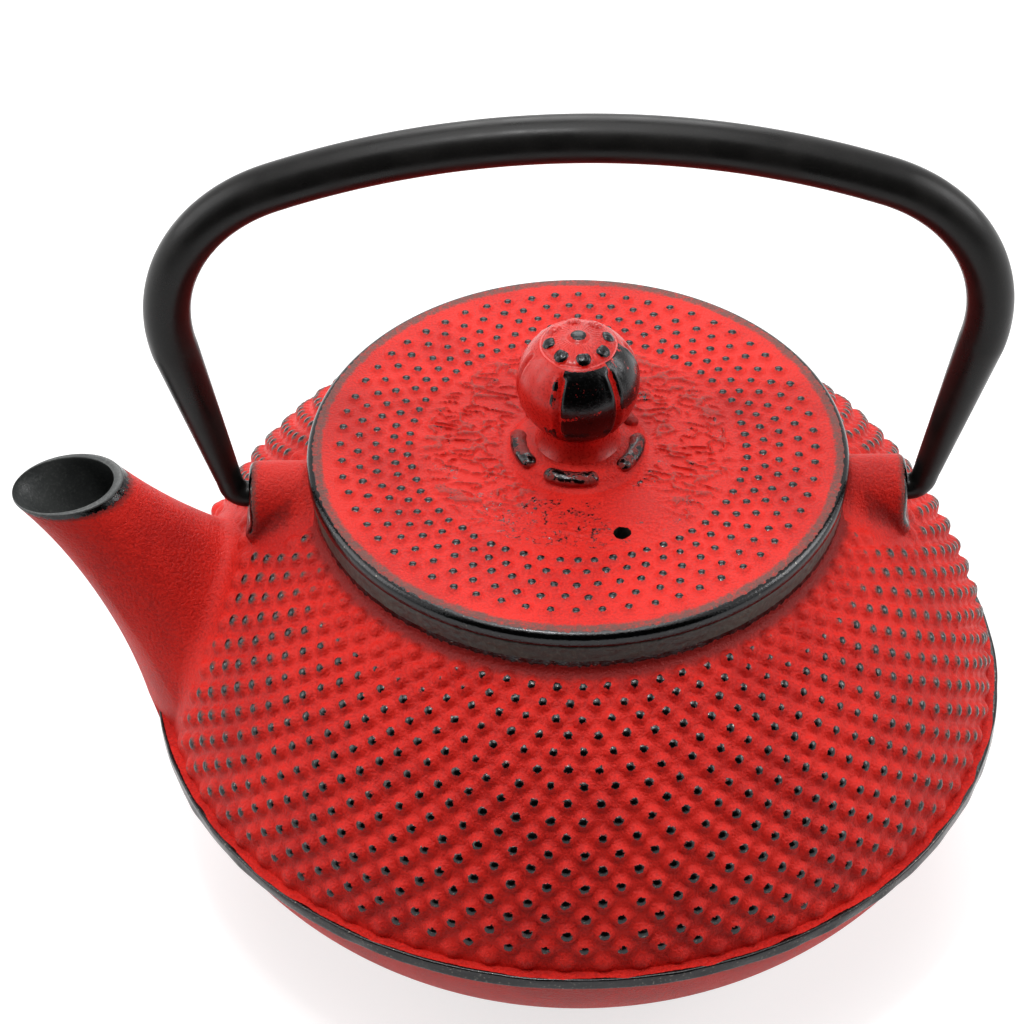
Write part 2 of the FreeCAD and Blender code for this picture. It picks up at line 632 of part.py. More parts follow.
def make_knob_rivet(doc):
    """The rivet: a shank up into the knob and a domed head below the washer."""
    body = new_body(doc, "knob_rivet")
    head_top = f"({SEAT_HEIGHT} - dim.washer_thickness)"
    dome_arc = "((dim.rivet_head_radius^2 + dim.rivet_head_height^2) / (2 * dim.rivet_head_height))"
    profile_turn(
        body,
        "rivet",
        [
            ("0", f"{head_top} - dim.rivet_head_height"),
            ("dim.rivet_head_radius", head_top),
            ("dim.rivet_radius", head_top),
            ("dim.rivet_radius", f"{BALL_HEIGHT} - dim.rivet_clearance"),
            ("0", f"{BALL_HEIGHT} - dim.rivet_clearance"),
        ],
        {0: (dome_arc, -1)},
    )
    return body


def make_rivet_washer(doc):
    """The washer between the lid and the rivet's head."""
    body = new_body(doc, "rivet_washer")
    low = f"{SEAT_HEIGHT} - dim.washer_thickness"
    profile_turn(body, "washer", rectangle(RIVET_HOLE, low, "dim.washer_radius", SEAT_HEIGHT))
    return body


def make_infuser_rim(doc):
    """The strainer's rim: a flange that lies on the ledge and a collar round the mesh."""
    body = new_body(doc, "infuser_rim")
    rim_outer = f"{REBATE_RADIUS} - dim.strainer_rim_gap"
    top = f"{LEDGE} + dim.strainer_sheet"
    collar_foot = f"{LEDGE} - dim.strainer_collar"
    profile_turn(
        body,
        "rim",
        [
            (MESH_INNER, LEDGE),
            (COLLAR_INNER, LEDGE),
            (COLLAR_INNER, collar_foot),
            (COLLAR_OUTER, collar_foot),
            (COLLAR_OUTER, LEDGE),
            (rim_outer, LEDGE),
            (rim_outer, top),
            (MESH_INNER, top),
        ],
    )
    return body


def make_infuser_wall(doc):
    """The strainer's mesh wall, a thin tube between its two rings."""
    body = new_body(doc, "infuser_wall")
    low = f"{STRAINER_BASE} + dim.strainer_sheet"
    profile_turn(body, "wall_tube", rectangle(MESH_INNER, low, MESH_RADIUS, LEDGE))
    return body


def make_infuser_base_ring(doc):
    """The strainer's bottom ring: a collar round the mesh and a shelf under its floor."""
    body = new_body(doc, "infuser_base_ring")
    shelf_top = f"{STRAINER_BASE} + dim.strainer_sheet"
    collar_top = f"{STRAINER_BASE} + dim.strainer_collar"
    profile_turn(
        body,
        "base_ring",
        [
            (f"{MESH_INNER} - dim.strainer_ring_width", STRAINER_BASE),
            (COLLAR_OUTER, STRAINER_BASE),
            (COLLAR_OUTER, collar_top),
            (COLLAR_INNER, collar_top),
            (COLLAR_INNER, shelf_top),
            (f"{MESH_INNER} - dim.strainer_ring_width", shelf_top),
        ],
    )
    return body


def make_infuser_floor(doc):
    """The strainer's mesh floor, a disc on the bottom ring's shelf."""
    body = new_body(doc, "infuser_floor")
    low = f"{STRAINER_BASE} + dim.strainer_sheet"
    outer = f"{MESH_INNER} - dim.strainer_gap"
    profile_turn(body, "floor_disc", rectangle("0", low, outer, f"{low} + dim.mesh_thickness"))
    return body


def leg_sketch(body, name, side):
    """Start a sketch at the top of a handle leg, with its upright axis running down the leg."""
    return new_sketch(
        body,
        name,
        "XZ_Plane",
        angle=f"180 - {side} * dim.handle_lean",
        x=f"{side} * {LEG_X}",
        y=f"{AXIS_HEIGHT} + {LEG_RISE}",
    )


def leg_cone(body, name, top_radius, end_radius, length, kind="PartDesign::Revolution"):
    """Turn a tapered leg, or its bore, about the right leg's axis."""
    sketch = leg_sketch(body, f"{name}_outline", 1)
    draw_path(sketch, [("0", "0"), (top_radius, "0"), (end_radius, length), ("0", length)])
    return turn(body, name, sketch, kind)


def make_handle_tube(doc):
    """The handle: a hollow tube, one half swept and tapered, the other half mirrored."""
    body = new_body(doc, "handle_tube")
    bore_radius = "(dim.handle_radius - dim.handle_wall)"
    bore_end = "(dim.handle_end_radius - dim.handle_end_wall)"
    crown_height = f"{AXIS_HEIGHT} + dim.handle_rise"

    spine = new_sketch(body, "arch_spine", "XZ_Plane")
    draw_path(
        spine,
        [
            ("0", crown_height),
            (CROWN_END_X, f"{AXIS_HEIGHT} + {CROWN_END_RISE}"),
            (LEG_X, f"{AXIS_HEIGHT} + {LEG_RISE}"),
        ],
        {0: ("dim.crown_arc", 1), 1: ("dim.handle_bend", 1)},
        closed=False,
    )
    outer = new_sketch(body, "arch_section", "YZ_Plane")
    draw_circle(outer, "0", crown_height, "dim.handle_radius")
    arch = sweep(body, "arch", outer, spine)
    leg = leg_cone(body, "leg", "dim.handle_radius", "dim.handle_end_radius", LEG_LENGTH)
    inner = new_sketch(body, "arch_bore_section", "YZ_Plane")
    draw_circle(inner, "0", crown_height, bore_radius)
    arch_bore = sweep(body, "arch_bore", inner, spine, "PartDesign::SubtractivePipe")
    leg_bore = leg_cone(body, "leg_bore", bore_radius, bore_end, LEG_LENGTH, "PartDesign::Groove")
    mirror(body, "both_halves", [arch, leg, arch_bore, leg_bore])
    return body


def make_handle_pin(doc, name, side):
    """An elbow pin: it lies in the ear, bends up into the leg's line and plugs into the tube."""
    body = new_body(doc, name)
    inner_end = f"{side} * ({EAR_REACH} - dim.pin_depth)"
    spine = new_sketch(body, "elbow_spine", "XZ_Plane")
    draw_path(
        spine,
        [
            (inner_end, AXIS_HEIGHT),
            (f"{side} * ({ELBOW_CORNER} - {ELBOW_TANGENT})", AXIS_HEIGHT),
            (
                f"{side} * ({ELBOW_CORNER} + {ELBOW_TANGENT} * sin(dim.handle_lean))",
                f"{AXIS_HEIGHT} + {ELBOW_TANGENT} * cos(dim.handle_lean)",
            ),
            (
                f"{side} * ({ELBOW_CORNER} + dim.handle_end_height * tan(dim.handle_lean))",
                f"{AXIS_HEIGHT} + dim.handle_end_height",
            ),
        ],
        {1: ("dim.elbow_radius", -side)},
        closed=False,
    )
    section = new_sketch(body, "pin_section", "YZ_Plane", z=inner_end)
    draw_circle(section, "0", AXIS_HEIGHT, "dim.pin_radius")
    sweep(body, "elbow", section, spine)
    plug = leg_sketch(body, "plug_outline", side)
    plug_radius = "dim.handle_end_radius - dim.handle_end_wall - dim.plug_clearance"
    draw_path(plug, rectangle("0", f"{LEG_LENGTH} - dim.plug_length", plug_radius, LEG_LENGTH))
    turn(body, "plug", plug)
    return body


def check_and_write(doc, bodies):
    """Stop if anything failed, then write each piece to its own file."""
    doc.recompute()
    for item in doc.Objects:
        if {"Invalid", "Error"} & set(item.State):
            raise RuntimeError(f"{item.Name} failed: {item.State}")
    cutters = ("PartDesign::Pocket", "PartDesign::Groove", "PartDesign::SubtractivePipe")
    for item in doc.Objects:
        if item.TypeId in cutters and item.Shape.Volume >= item.BaseFeature.Shape.Volume:
            raise RuntimeError(f"{item.Name} cuts nothing")
    os.makedirs("parts", exist_ok=True)
    for body in bodies:
        shape = body.Shape
        if shape.isNull() or not shape.isValid():
            raise RuntimeError(f"{body.Label} has no valid shape")
        shape.exportStep(f"parts/{body.Label}.step")
        print(f"{body.Label}: {len(shape.Solids)} solid, {shape.Volume / 1000:.2f} cm3")


def main():
    """Build every piece and write it."""
    doc = FreeCAD.newDocument("teapot")
    add_sheet(doc)
    bodies = [
        make_pot_body(doc),
        make_lid_plate(doc),
        make_knob_seat(doc),
        make_lid_knob(doc),
        make_knob_rivet(doc),
        make_rivet_washer(doc),
        make_infuser_rim(doc),
        make_infuser_wall(doc),
        make_infuser_base_ring(doc),
        make_infuser_floor(doc),
        make_handle_tube(doc),
        make_handle_pin(doc, "handle_pin_left", -1),
        make_handle_pin(doc, "handle_pin_right", 1),
    ]
    check_and_write(doc, bodies)


main()
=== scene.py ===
"""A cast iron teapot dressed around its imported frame: hobnailed pot, lid, strainer and handle.

Sizes are millimetres and degrees until a mesh is made, which is in metres in the CAD model's frame:
the middle of the base is the origin, +Z is up and the spout points to -X.
"""

import logging
import math
from collections.abc import Callable
from dataclasses import dataclass, field
from enum import Enum

import bpy
import numpy as np
from mathutils import Matrix, Vector


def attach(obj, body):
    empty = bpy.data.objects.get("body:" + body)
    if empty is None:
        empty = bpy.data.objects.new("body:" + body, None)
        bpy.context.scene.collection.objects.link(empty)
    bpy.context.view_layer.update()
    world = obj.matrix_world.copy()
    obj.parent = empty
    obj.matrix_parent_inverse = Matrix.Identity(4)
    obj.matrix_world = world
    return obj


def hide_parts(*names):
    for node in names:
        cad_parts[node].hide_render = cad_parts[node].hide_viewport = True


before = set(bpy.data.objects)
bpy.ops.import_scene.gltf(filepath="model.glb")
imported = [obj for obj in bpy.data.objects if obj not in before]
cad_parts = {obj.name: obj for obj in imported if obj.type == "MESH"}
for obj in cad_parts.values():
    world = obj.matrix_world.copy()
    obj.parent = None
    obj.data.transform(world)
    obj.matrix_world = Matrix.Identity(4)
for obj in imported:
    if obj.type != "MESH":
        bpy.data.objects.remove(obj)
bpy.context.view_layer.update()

LOG = logging.getLogger("teapot")
MM = 0.001

Array = np.ndarray
Colour = tuple[float, float, float, float]
Socket = bpy.types.NodeSocket
ArrayFunction = Callable[[Array], Array]


class Body(str, Enum):
    """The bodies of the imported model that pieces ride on."""

    POT = "pot"
    INFUSER = "infuser"
    LID = "lid"
    HANDLE = "handle"


class Slot(str, Enum):
    """Names of material slots."""

    RED_IRON = "red_iron"
    KNOB_IRON = "knob_iron"
    BLACK_STEEL = "black_steel"
    BARE_STEEL = "bare_steel"
    STRAINER_STEEL = "strainer_steel"
    STRAINER_MESH = "strainer_mesh"


class Mark(str, Enum):
    """Point attributes that the finishes read: paint rubbed down to iron, scuffed thin, or darkened by grime.
    In places the bare and grime marks also carry painted shade, and the scuff mark a painted sheen.
    """

    BARE = "bare"
    SCUFF = "scuff"
    # Darkens the red: grime at the spout's mouth and on the beads, painted shade in creases and under the
    # knob.
    GRIME_AND_PAINTED_SHADE = "grime"


# Shapes worked out on whole arrays


def ease(value: Array, low: float, high: float) -> Array:
    """Smooth step from 0 at low to 1 at high: 3 t squared less 2 t cubed.

    Args:
        value: Numbers to map.
        low: Where the step starts.
        high: Where the step ends; it may be less than low.

    Returns:
        The eased numbers.
    """
    share = np.clip((value - low) / (high - low), 0.0, 1.0)
    return share * share * (3.0 - 2.0 * share)


def cloud(across: Array, along: Array, size: float, seed: int) -> Array:
    """Soft noise: seeded random heights on a square lattice, eased between neighbours.

    Args:
        across: First coordinate.
        along: Second coordinate.
        size: Side of a lattice square, in the coordinates' unit.
        seed: Seed of the heights.

    Returns:
        Numbers from 0 to 1.
    """
    side = 128
    table = np.random.default_rng(seed).random((side, side))
    column = np.floor(across / size).astype(int)
    row = np.floor(along / size).astype(int)
    right = ease(across / size - column, 0.0, 1.0)
    up = ease(along / size - row, 0.0, 1.0)
    low = table[row % side, column % side] * (1 - right) + table[row % side, (column + 1) % side] * right
    next_row = (row + 1) % side
    high = table[next_row, column % side] * (1 - right) + table[next_row, (column + 1) % side] * right
    return low * (1 - up) + high * up


def arc(middle: tuple[float, float], radius: float, start: float, finish: float, count: int) -> Array:
    """Points of a circle's arc in an outline's plane.

    Args:
        middle: The circle's middle, as reach and height.
        radius: The circle's radius.
        start: First angle, counted from the outward direction towards up.
        finish: Last angle.
        count: Number of points.

    Returns:
        Points as rows of reach and height.
    """
    angle = np.radians(np.linspace(start, finish, count))
    return gather(middle[0] + radius * np.cos(angle), middle[1] + radius * np.sin(angle))


def run(*corners: tuple[float, float], step: float = 1.5) -> Array:
    """Points along straight runs between corners, both ends of each run included once.

    Args:
        corners: Corners as reach and height.
        step: Longest distance between neighbours.

    Returns:
        Points as rows of reach and height.
    """
    pieces = [np.array(corners[:1], float)]
    for first, last in zip(corners[:-1], corners[1:]):
        count = max(1, math.ceil(math.dist(first, last) / step))
        share = np.linspace(0.0, 1.0, count + 1)[1:, None]
        pieces.append((1 - share) * np.array(first) + share * np.array(last))
    return np.concatenate(pieces)


def spin(outline: Array, turn: Array) -> Array:
    """Turn an outline about the upright axis: reach times cosine, reach times sine, height.

    Args:
        outline: Rows of reach and height, or a grid of them with one column for each angle.
        turn: Angles in degrees.

    Returns:
        A grid of points, one row for each outline point.
    """
    if outline.ndim == 2:
        outline = outline[:, None, :]
    angle = np.radians(turn)[None, :]
    reach = outline[..., 0]
    height = np.broadcast_to(outline[..., 1], np.broadcast_shapes(reach.shape, angle.shape))
    return gather(reach * np.cos(angle), reach * np.sin(angle), height)


def gather(*parts: Array) -> Array:
    """Set arrays side by side on a new last axis, as points' coordinates or faces' corners."""
    return np.stack(parts, axis=-1)


def circle(count: int) -> Array:
    """Angles of a full turn in even steps, in degrees."""
    return np.arange(count) * 360.0 / count


def apart(turn: Array, middle: float) -> Array:
    """Angle between each turn and a middle, from 0 to 180 degrees."""
    return np.abs((turn - middle + 180.0) % 360.0 - 180.0)


def spread(outline: Array, turn: Array) -> Array:
    """Copy an outline to every angle, so that each column can be changed alone."""
    return np.repeat(outline[:, None, :], len(turn), axis=1)


def fade_seam(turn: Array, width: float) -> Array:
    """Share that falls to zero within a width of the seam at angle 0, where noise would not meet."""
    return ease(turn, 0.0, width) * ease(turn, 359.5, 359.0 - width)


def unit(ways: Array) -> Array:
    """Directions brought to length one."""
    return ways / np.linalg.norm(ways, axis=-1, keepdims=True)


def halve(wanted: ArrayFunction, low: Array, high: Array, steps: int = 40) -> Array:
    """Find where a falling function crosses zero, by halving the interval for the whole array at once.

    Args:
        wanted: Function of the array that is above zero at low and below zero at high.
        low: Lower ends.
        high: Upper ends.
        steps: Number of halvings.

    Returns:
        The crossings.
    """
    for _ in range(steps):
        middle = (low + high) / 2
        above = wanted(middle) > 0
        low = np.where(above, middle, low)
        high = np.where(above, high, middle)
    return (low + high) / 2


def put_in_scene(name: str, data: bpy.types.ID) -> bpy.types.Object:
    """Add an object with that data to the scene.

    Args:
        name: The object's name.
        data: Its mesh, camera or light.

    Returns:
        The object.
    """
    thing = bpy.data.objects.new(name, data)
    bpy.context.scene.collection.objects.link(thing)
    return thing


class Shell:
    """Points, marks and faces gathered for one closed surface."""

    def __init__(self) -> None:
        """Start empty."""
        self.points: list[Array] = []
        self.marks: dict[Mark, list[Array]] = {mark: [] for mark in Mark}
        self.faces: list[tuple[Array, int]] = []
        self.total = 0

    def place(self, points: Array, **marks: Array | float) -> Array:
        """Add a grid of points.

        Args:
            points: Points, in a grid of any shape.
            marks: Values of the marks by name, for each point or for all; a mark left out is zero.

        Returns:
            The points' numbers, in the grid's shape.
        """
        shape = points.shape[:-1]
        numbers = self.total + np.arange(math.prod(shape)).reshape(shape)
        self.points.append(points.reshape(-1, 3))
        for mark in Mark:
            self.marks[mark].append(np.broadcast_to(marks.get(mark.value, 0.0), shape).ravel())
        self.total += numbers.size
        return numbers

    def cover(
        self,
        numbers: Array,
        coat: int = 0,
        ring: bool = True,
        hoop: bool = False,
        keep: Array | None = None,
    ) -> None:
        """Lay a four-sided face between each four neighbours of a grid.

        Args:
            numbers: Grid of point numbers.
            coat: Number of the finish.
            ring: Whether the last column joins the first.
            hoop: Whether the last row joins the first.
            keep: Which faces to lay, as a grid of them; all when left out.
        """
        if ring:
            numbers = np.concatenate([numbers, numbers[:, :1]], axis=1)
        if hoop:
            numbers = np.concatenate([numbers, numbers[:1]], axis=0)
        faces = gather(numbers[:-1, :-1], numbers[:-1, 1:], numbers[1:, 1:], numbers[1:, :-1])
        faces = faces.reshape(-1, 4) if keep is None else faces[keep]
        self.faces.append((faces, coat))

    def close(self, rim: Array, point: Array, coat: int = 0, first: bool = False, **marks: float) -> None:
        """Close a ring of points with a fan of triangles to one more point.

        Args:
            rim: Numbers of the ring's points.
            point: The middle point.
            coat: Number of the finish.
            first: Whether the rim is the grid's first row, which turns the fan's faces round.
            marks: Values of the middle point's marks.
        """
        middle = np.full(rim.shape, self.place(np.asarray(point, float)[None, :], **marks)[0])
        beside = np.roll(rim, -1)
        fan = [beside, rim, middle] if first else [rim, beside, middle]
        self.faces.append((gather(*fan), coat))

    def cap(self, numbers: Array, grid: Array) -> None:
        """Close a grid's last and first rings, each with a point in its middle."""
        self.close(numbers[-1], grid[-1].mean(axis=0))
        self.close(numbers[0], grid[0].mean(axis=0), first=True)

    def join(self, other: "Shell") -> None:
        """Take in another shell's points and faces, as a loose part of the same piece.

        Args:
            other: The other shell.
        """
        self.faces.extend((faces + self.total, coat) for faces, coat in other.faces)
        self.points.extend(other.points)
        for mark in Mark:
            self.marks[mark].extend(other.marks[mark])
        self.total += other.total

    def face_outwards(self) -> "Shell":
        """Turn all faces round if the volume that they enclose comes out negative.

        Returns:
            The shell itself.
        """
        points = np.concatenate(self.points)
        volume = 0.0
        for faces, _ in self.faces:
            for second in range(1, faces.shape[1] - 1):
                a, b, c = points[faces[:, 0]], points[faces[:, second]], points[faces[:, second + 1]]
                volume += float(np.einsum("ij,ij->", a, np.cross(b, c)))
        if volume < 0:
            self.faces = [(faces[:, ::-1], coat) for faces, coat in self.faces]
        return self

    def build(self, name: str, coats: list[bpy.types.Material], crease: float = 50.0) -> bpy.types.Object:
        """Make the Blender object, in metres.

        Args:
            name: The piece's name.
            coats: Its finishes, in the order of the coat numbers.
            crease: Angle in degrees from which an edge is drawn sharp.

        Returns:
            The object, at the origin.
        """
        corners = np.concatenate([faces.ravel() for faces, _ in self.faces])
        used, corners = np.unique(corners, return_inverse=True)
        sizes = np.concatenate([np.full(len(faces), faces.shape[1]) for faces, _ in self.faces])
        coat_of = np.concatenate([np.full(len(faces), coat) for faces, coat in self.faces])
        mesh = bpy.data.meshes.new(name)
        mesh.vertices.add(len(used))
        mesh.vertices.foreach_set("co", (np.concatenate(self.points)[used] * MM).astype(np.float32).ravel())
        mesh.loops.add(len(corners))
        mesh.loops.foreach_set("vertex_index", corners.astype(np.int32).ravel())
        mesh.polygons.add(len(sizes))
        mesh.polygons.foreach_set("loop_start", (np.cumsum(sizes) - sizes).astype(np.int32))
        mesh.polygons.foreach_set("material_index", coat_of.astype(np.int32))
        for mark in Mark:
            layer = mesh.attributes.new(mark.value, "FLOAT", "POINT")
            layer.data.foreach_set("value", np.concatenate(self.marks[mark])[used].astype(np.float32))
        mesh.update(calc_edges=True)
        mesh.validate()
        mesh.shade_smooth()
        mesh.set_sharp_from_angle(angle=math.radians(crease))
        for coat in coats:
            mesh.materials.append(coat)
        piece = put_in_scene(name, mesh)
        LOG.info("%s: %d points, %d triangles", name, len(used), int((sizes - 2).sum()))
        return piece


def mount(piece: bpy.types.Object, body: Body, slot: Slot, *nodes: str) -> bpy.types.Object:
    """Set a piece on its body and hide the CAD nodes that it replaces.

    Args:
        piece: The piece.
        body: The body that it rides on.
        slot: Not used.
        nodes: CAD nodes that it replaces.

    Returns:
        The piece.
    """
    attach(piece, body.value)
    if nodes:
        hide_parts(*nodes)
    return piece


# Finishes


class NodeBench:
    """The node tree of one material, with short calls for the nodes that the finishes share."""

    def __init__(self, name: str) -> None:
        """Make the material with its shader and its object coordinates.

        Args:
            name: The material's name.
        """
        self.material = bpy.data.materials.new(name)
        self.material.use_nodes = True
        self.tree = self.material.node_tree
        self.shader = self.tree.nodes["Principled BSDF"]
        self.place = self.add("ShaderNodeTexCoord").outputs["Object"]

    def add(self, kind: str) -> bpy.types.Node:
        """Add a node of that kind."""
        return self.tree.nodes.new(kind)

    def feed(self, target: Socket, value: Socket | float | Colour) -> None:
        """Link a socket to a target, or set a constant on it."""
        if isinstance(value, bpy.types.NodeSocket):
            self.tree.links.new(value, target)
        else:
            target.default_value = value

    def noise(self, size: float, detail: float = 2.0, rough: float = 0.5) -> Socket:
        """Noise on object coordinates.

        Args:
            size: Size of its features in millimetres.
            detail: Number of finer layers.
            rough: Weight of the finer layers.

        Returns:
            The noise's value, about 0.5 on average.
        """
        node = self.add("ShaderNodeTexNoise")
        node.inputs["Scale"].default_value = 1.0 / (size * MM)
        node.inputs["Detail"].default_value = detail
        node.inputs["Roughness"].default_value = rough
        self.feed(node.inputs["Vector"], self.place)
        return node.outputs["Fac"]

    def mark(self, mark: Mark) -> Socket:
        """The value of a point attribute.

        Args:
            mark: The attribute.

        Returns:
            Its value.
        """
        node = self.add("ShaderNodeAttribute")
        node.attribute_name = mark.value
        return node.outputs["Fac"]

    def sum(self, operation: str, first: Socket | float, second: Socket | float) -> Socket:
        """A two-number calculation, such as ADD or MULTIPLY.

        Args:
            operation: The calculation's name.
            first: First number.
            second: Second number.

        Returns:
            The result.
        """
        node = self.add("ShaderNodeMath")
        node.operation = operation
        self.feed(node.inputs[0], first)
        self.feed(node.inputs[1], second)
        return node.outputs[0]

    def remap(
        self, value: Socket, low: float, high: float, start: float = 0.0, finish: float = 1.0
    ) -> Socket:
        """Map a value smoothly from low and high to start and finish, held at both ends.

        Args:
            value: The value.
            low: Where the change starts.
            high: Where the change ends.
            start: Result at low.
            finish: Result at high.

        Returns:
            The mapped value.
        """
        node = self.add("ShaderNodeMapRange")
        node.interpolation_type = "SMOOTHSTEP"
        for name, number in zip(("From Min", "From Max", "To Min", "To Max"), (low, high, start, finish)):
            node.inputs[name].default_value = number
        self.feed(node.inputs["Value"], value)
        return node.outputs["Result"]

    def blend(self, share: Socket | float, first: Socket | Colour, second: Socket | Colour) -> Socket:
        """Mix two colours: first at share 0, second at share 1.

        Args:
            share: Share of the second.
            first: First colour.
            second: Second colour.

        Returns:
            The mixed colour.
        """
        node = self.add("ShaderNodeMix")
        node.data_type = "RGBA"
        self.feed(node.inputs[0], share)
        self.feed(node.inputs[6], first)
        self.feed(node.inputs[7], second)
        return node.outputs[2]

    def bump(self, height: Socket, depth: float, under: Socket | None = None) -> Socket:
        """Surface relief.

        Args:
            height: Relief from 0 to 1.
            depth: Depth of that relief in millimetres.
            under: A normal that the relief is laid over.

        Returns:
            The new normal.
        """
        node = self.add("ShaderNodeBump")
        node.inputs["Strength"].default_value = 1.0
        node.inputs["Distance"].default_value = depth * MM
        self.feed(node.inputs["Height"], height)
        if under is not None:
            self.feed(node.inputs["Normal"], under)
        return node.outputs["Normal"]

    def ragged(self, mark: Mark, size: float, swing: float, level: float, soft: float) -> Socket:
        """A mark's edge made ragged: the mark plus noise, stepped at a level.

        Args:
            mark: The point attribute.
            size: Size of the noise in millimetres.
            swing: How far the noise moves the mark.
            level: Where the step lies.
            soft: Width of the step.

        Returns:
            Share from 0 to 1.
        """
        shift = self.sum("MULTIPLY", self.sum("SUBTRACT", self.noise(size, 3.0, 0.6), 0.5), swing)
        moved = self.sum("ADD", self.mark(mark), shift)
        return self.remap(moved, level - soft / 2, level + soft / 2)

    def finish(
        self, colour: Socket | Colour, rough: Socket | float, normal: Socket, **constants: float
    ) -> bpy.types.Material:
        """Feed the shader.

        Args:
            colour: Base colour.
            rough: Roughness.
            normal: Surface normal.
            constants: Values for the shader's other sockets, with _ for a space.

        Returns:
            The material.
        """
        self.feed(self.shader.inputs["Base Color"], colour)
        self.feed(self.shader.inputs["Roughness"], rough)
        self.feed(self.shader.inputs["Normal"], normal)
        for name, number in constants.items():
            self.shader.inputs[name.replace("_", " ")].default_value = number
        return self.material


@dataclass(frozen=True)
class RubbedPaint:
    """Red paint on a sand-cast surface, rubbed down to black iron where the bare mark is high."""

    name: str
    red: Colour = (0.66, 0.017, 0.010, 1.0)
    red_deep: Colour = (0.47, 0.009, 0.006, 1.0)
    red_scuffed: Colour = (0.14, 0.05, 0.042, 1.0)
    # Dark red of grime, and of painted shade.
    red_grime_and_shade: Colour = (0.24, 0.008, 0.006, 1.0)
    iron: Colour = (0.036, 0.036, 0.037, 1.0)
    iron_pale: Colour = (0.15, 0.14, 0.125, 1.0)
    paint_rough: float = 0.5
    iron_rough: float = 0.2
    specular: float = 0.22
    grain: float = 0.5
    grain_depth: float = 0.3
    iron_depth: float = 0.05
    edge_size: float = 0.55
    edge_swing: float = 0.6
    edge_level: float = 0.60
    edge_soft: float = 0.12
    pale_share: float = 0.62
    pale_soft: float = 0.1
    broad_size: float = 14.0
    pit_size: float = 0.42

    def material(self) -> bpy.types.Material:
        """Make the material.

        Returns:
            The material.
        """
        bench = NodeBench(self.name)
        grain = bench.noise(self.grain, 3.0, 0.6)
        broad = bench.noise(self.broad_size, 3.0, 0.55)
        deep = bench.remap(bench.sum("ADD", broad, grain), 0.8, 1.15)
        paint = bench.blend(deep, self.red_deep, self.red)
        scuffed = bench.ragged(Mark.SCUFF, 0.4, 1.1, 0.5, 0.7)
        paint = bench.blend(scuffed, paint, self.red_scuffed)
        # Darker red where the grime mark is high: real grime in places, painted shade by the ring, on the
        # ears and under the knob.
        paint = bench.blend(bench.ragged(Mark.GRIME_AND_PAINTED_SHADE, 0.9, 0.7, 0.5, 0.7), paint, self.red_grime_and_shade)
        pitted = bench.noise(self.pit_size)
        pale = bench.remap(pitted, self.pale_share, self.pale_share + self.pale_soft)
        iron = bench.blend(pale, self.iron, self.iron_pale)
        bare = bench.ragged(Mark.BARE, self.edge_size, self.edge_swing, self.edge_level, self.edge_soft)
        colour = bench.blend(bare, paint, iron)
        bench.feed(bench.shader.inputs["Metallic"], bare)
        rough = bench.remap(bare, 0.0, 1.0, self.paint_rough, self.iron_rough)
        rough = bench.sum("ADD", rough, bench.remap(grain, 0.3, 0.7, -0.05, 0.06))
        painted = bench.sum("SUBTRACT", 1.0, bare)
        level_grain = bench.sum("SUBTRACT", grain, 0.5)
        normal = bench.bump(bench.sum("MULTIPLY", level_grain, painted), self.grain_depth)
        normal = bench.bump(bench.sum("MULTIPLY", pitted, bare), self.iron_depth, normal)
        return bench.finish(colour, rough, normal, Specular_IOR_Level=self.specular)


@dataclass(frozen=True)
class Metal:
    """Iron or steel in one colour with a paler grain, fine relief and uneven gloss."""

    name: str
    colour: Colour
    pale: Colour
    rough: float
    grain: float
    depth: float
    metallic: float = 0.0
    specular: float = 0.5
    broad_factor: float = 18.0

    def material(self) -> bpy.types.Material:
        """Make the material.

        Returns:
            The material.
        """
        bench = NodeBench(self.name)
        grain = bench.noise(self.grain, 4.0, 0.6)
        broad = bench.noise(self.grain * self.broad_factor, 2.0)
        fine_share = bench.remap(grain, 0.45, 0.8, 0.0, 0.7)
        share = bench.sum("ADD", fine_share, bench.remap(broad, 0.4, 0.75, 0.0, 0.3))
        colour = bench.blend(share, self.colour, self.pale)
        rough = bench.remap(broad, 0.3, 0.7, self.rough - 0.05, self.rough + 0.06)
        normal = bench.bump(grain, self.depth)
        return bench.finish(colour, rough, normal, Metallic=self.metallic, Specular_IOR_Level=self.specular)


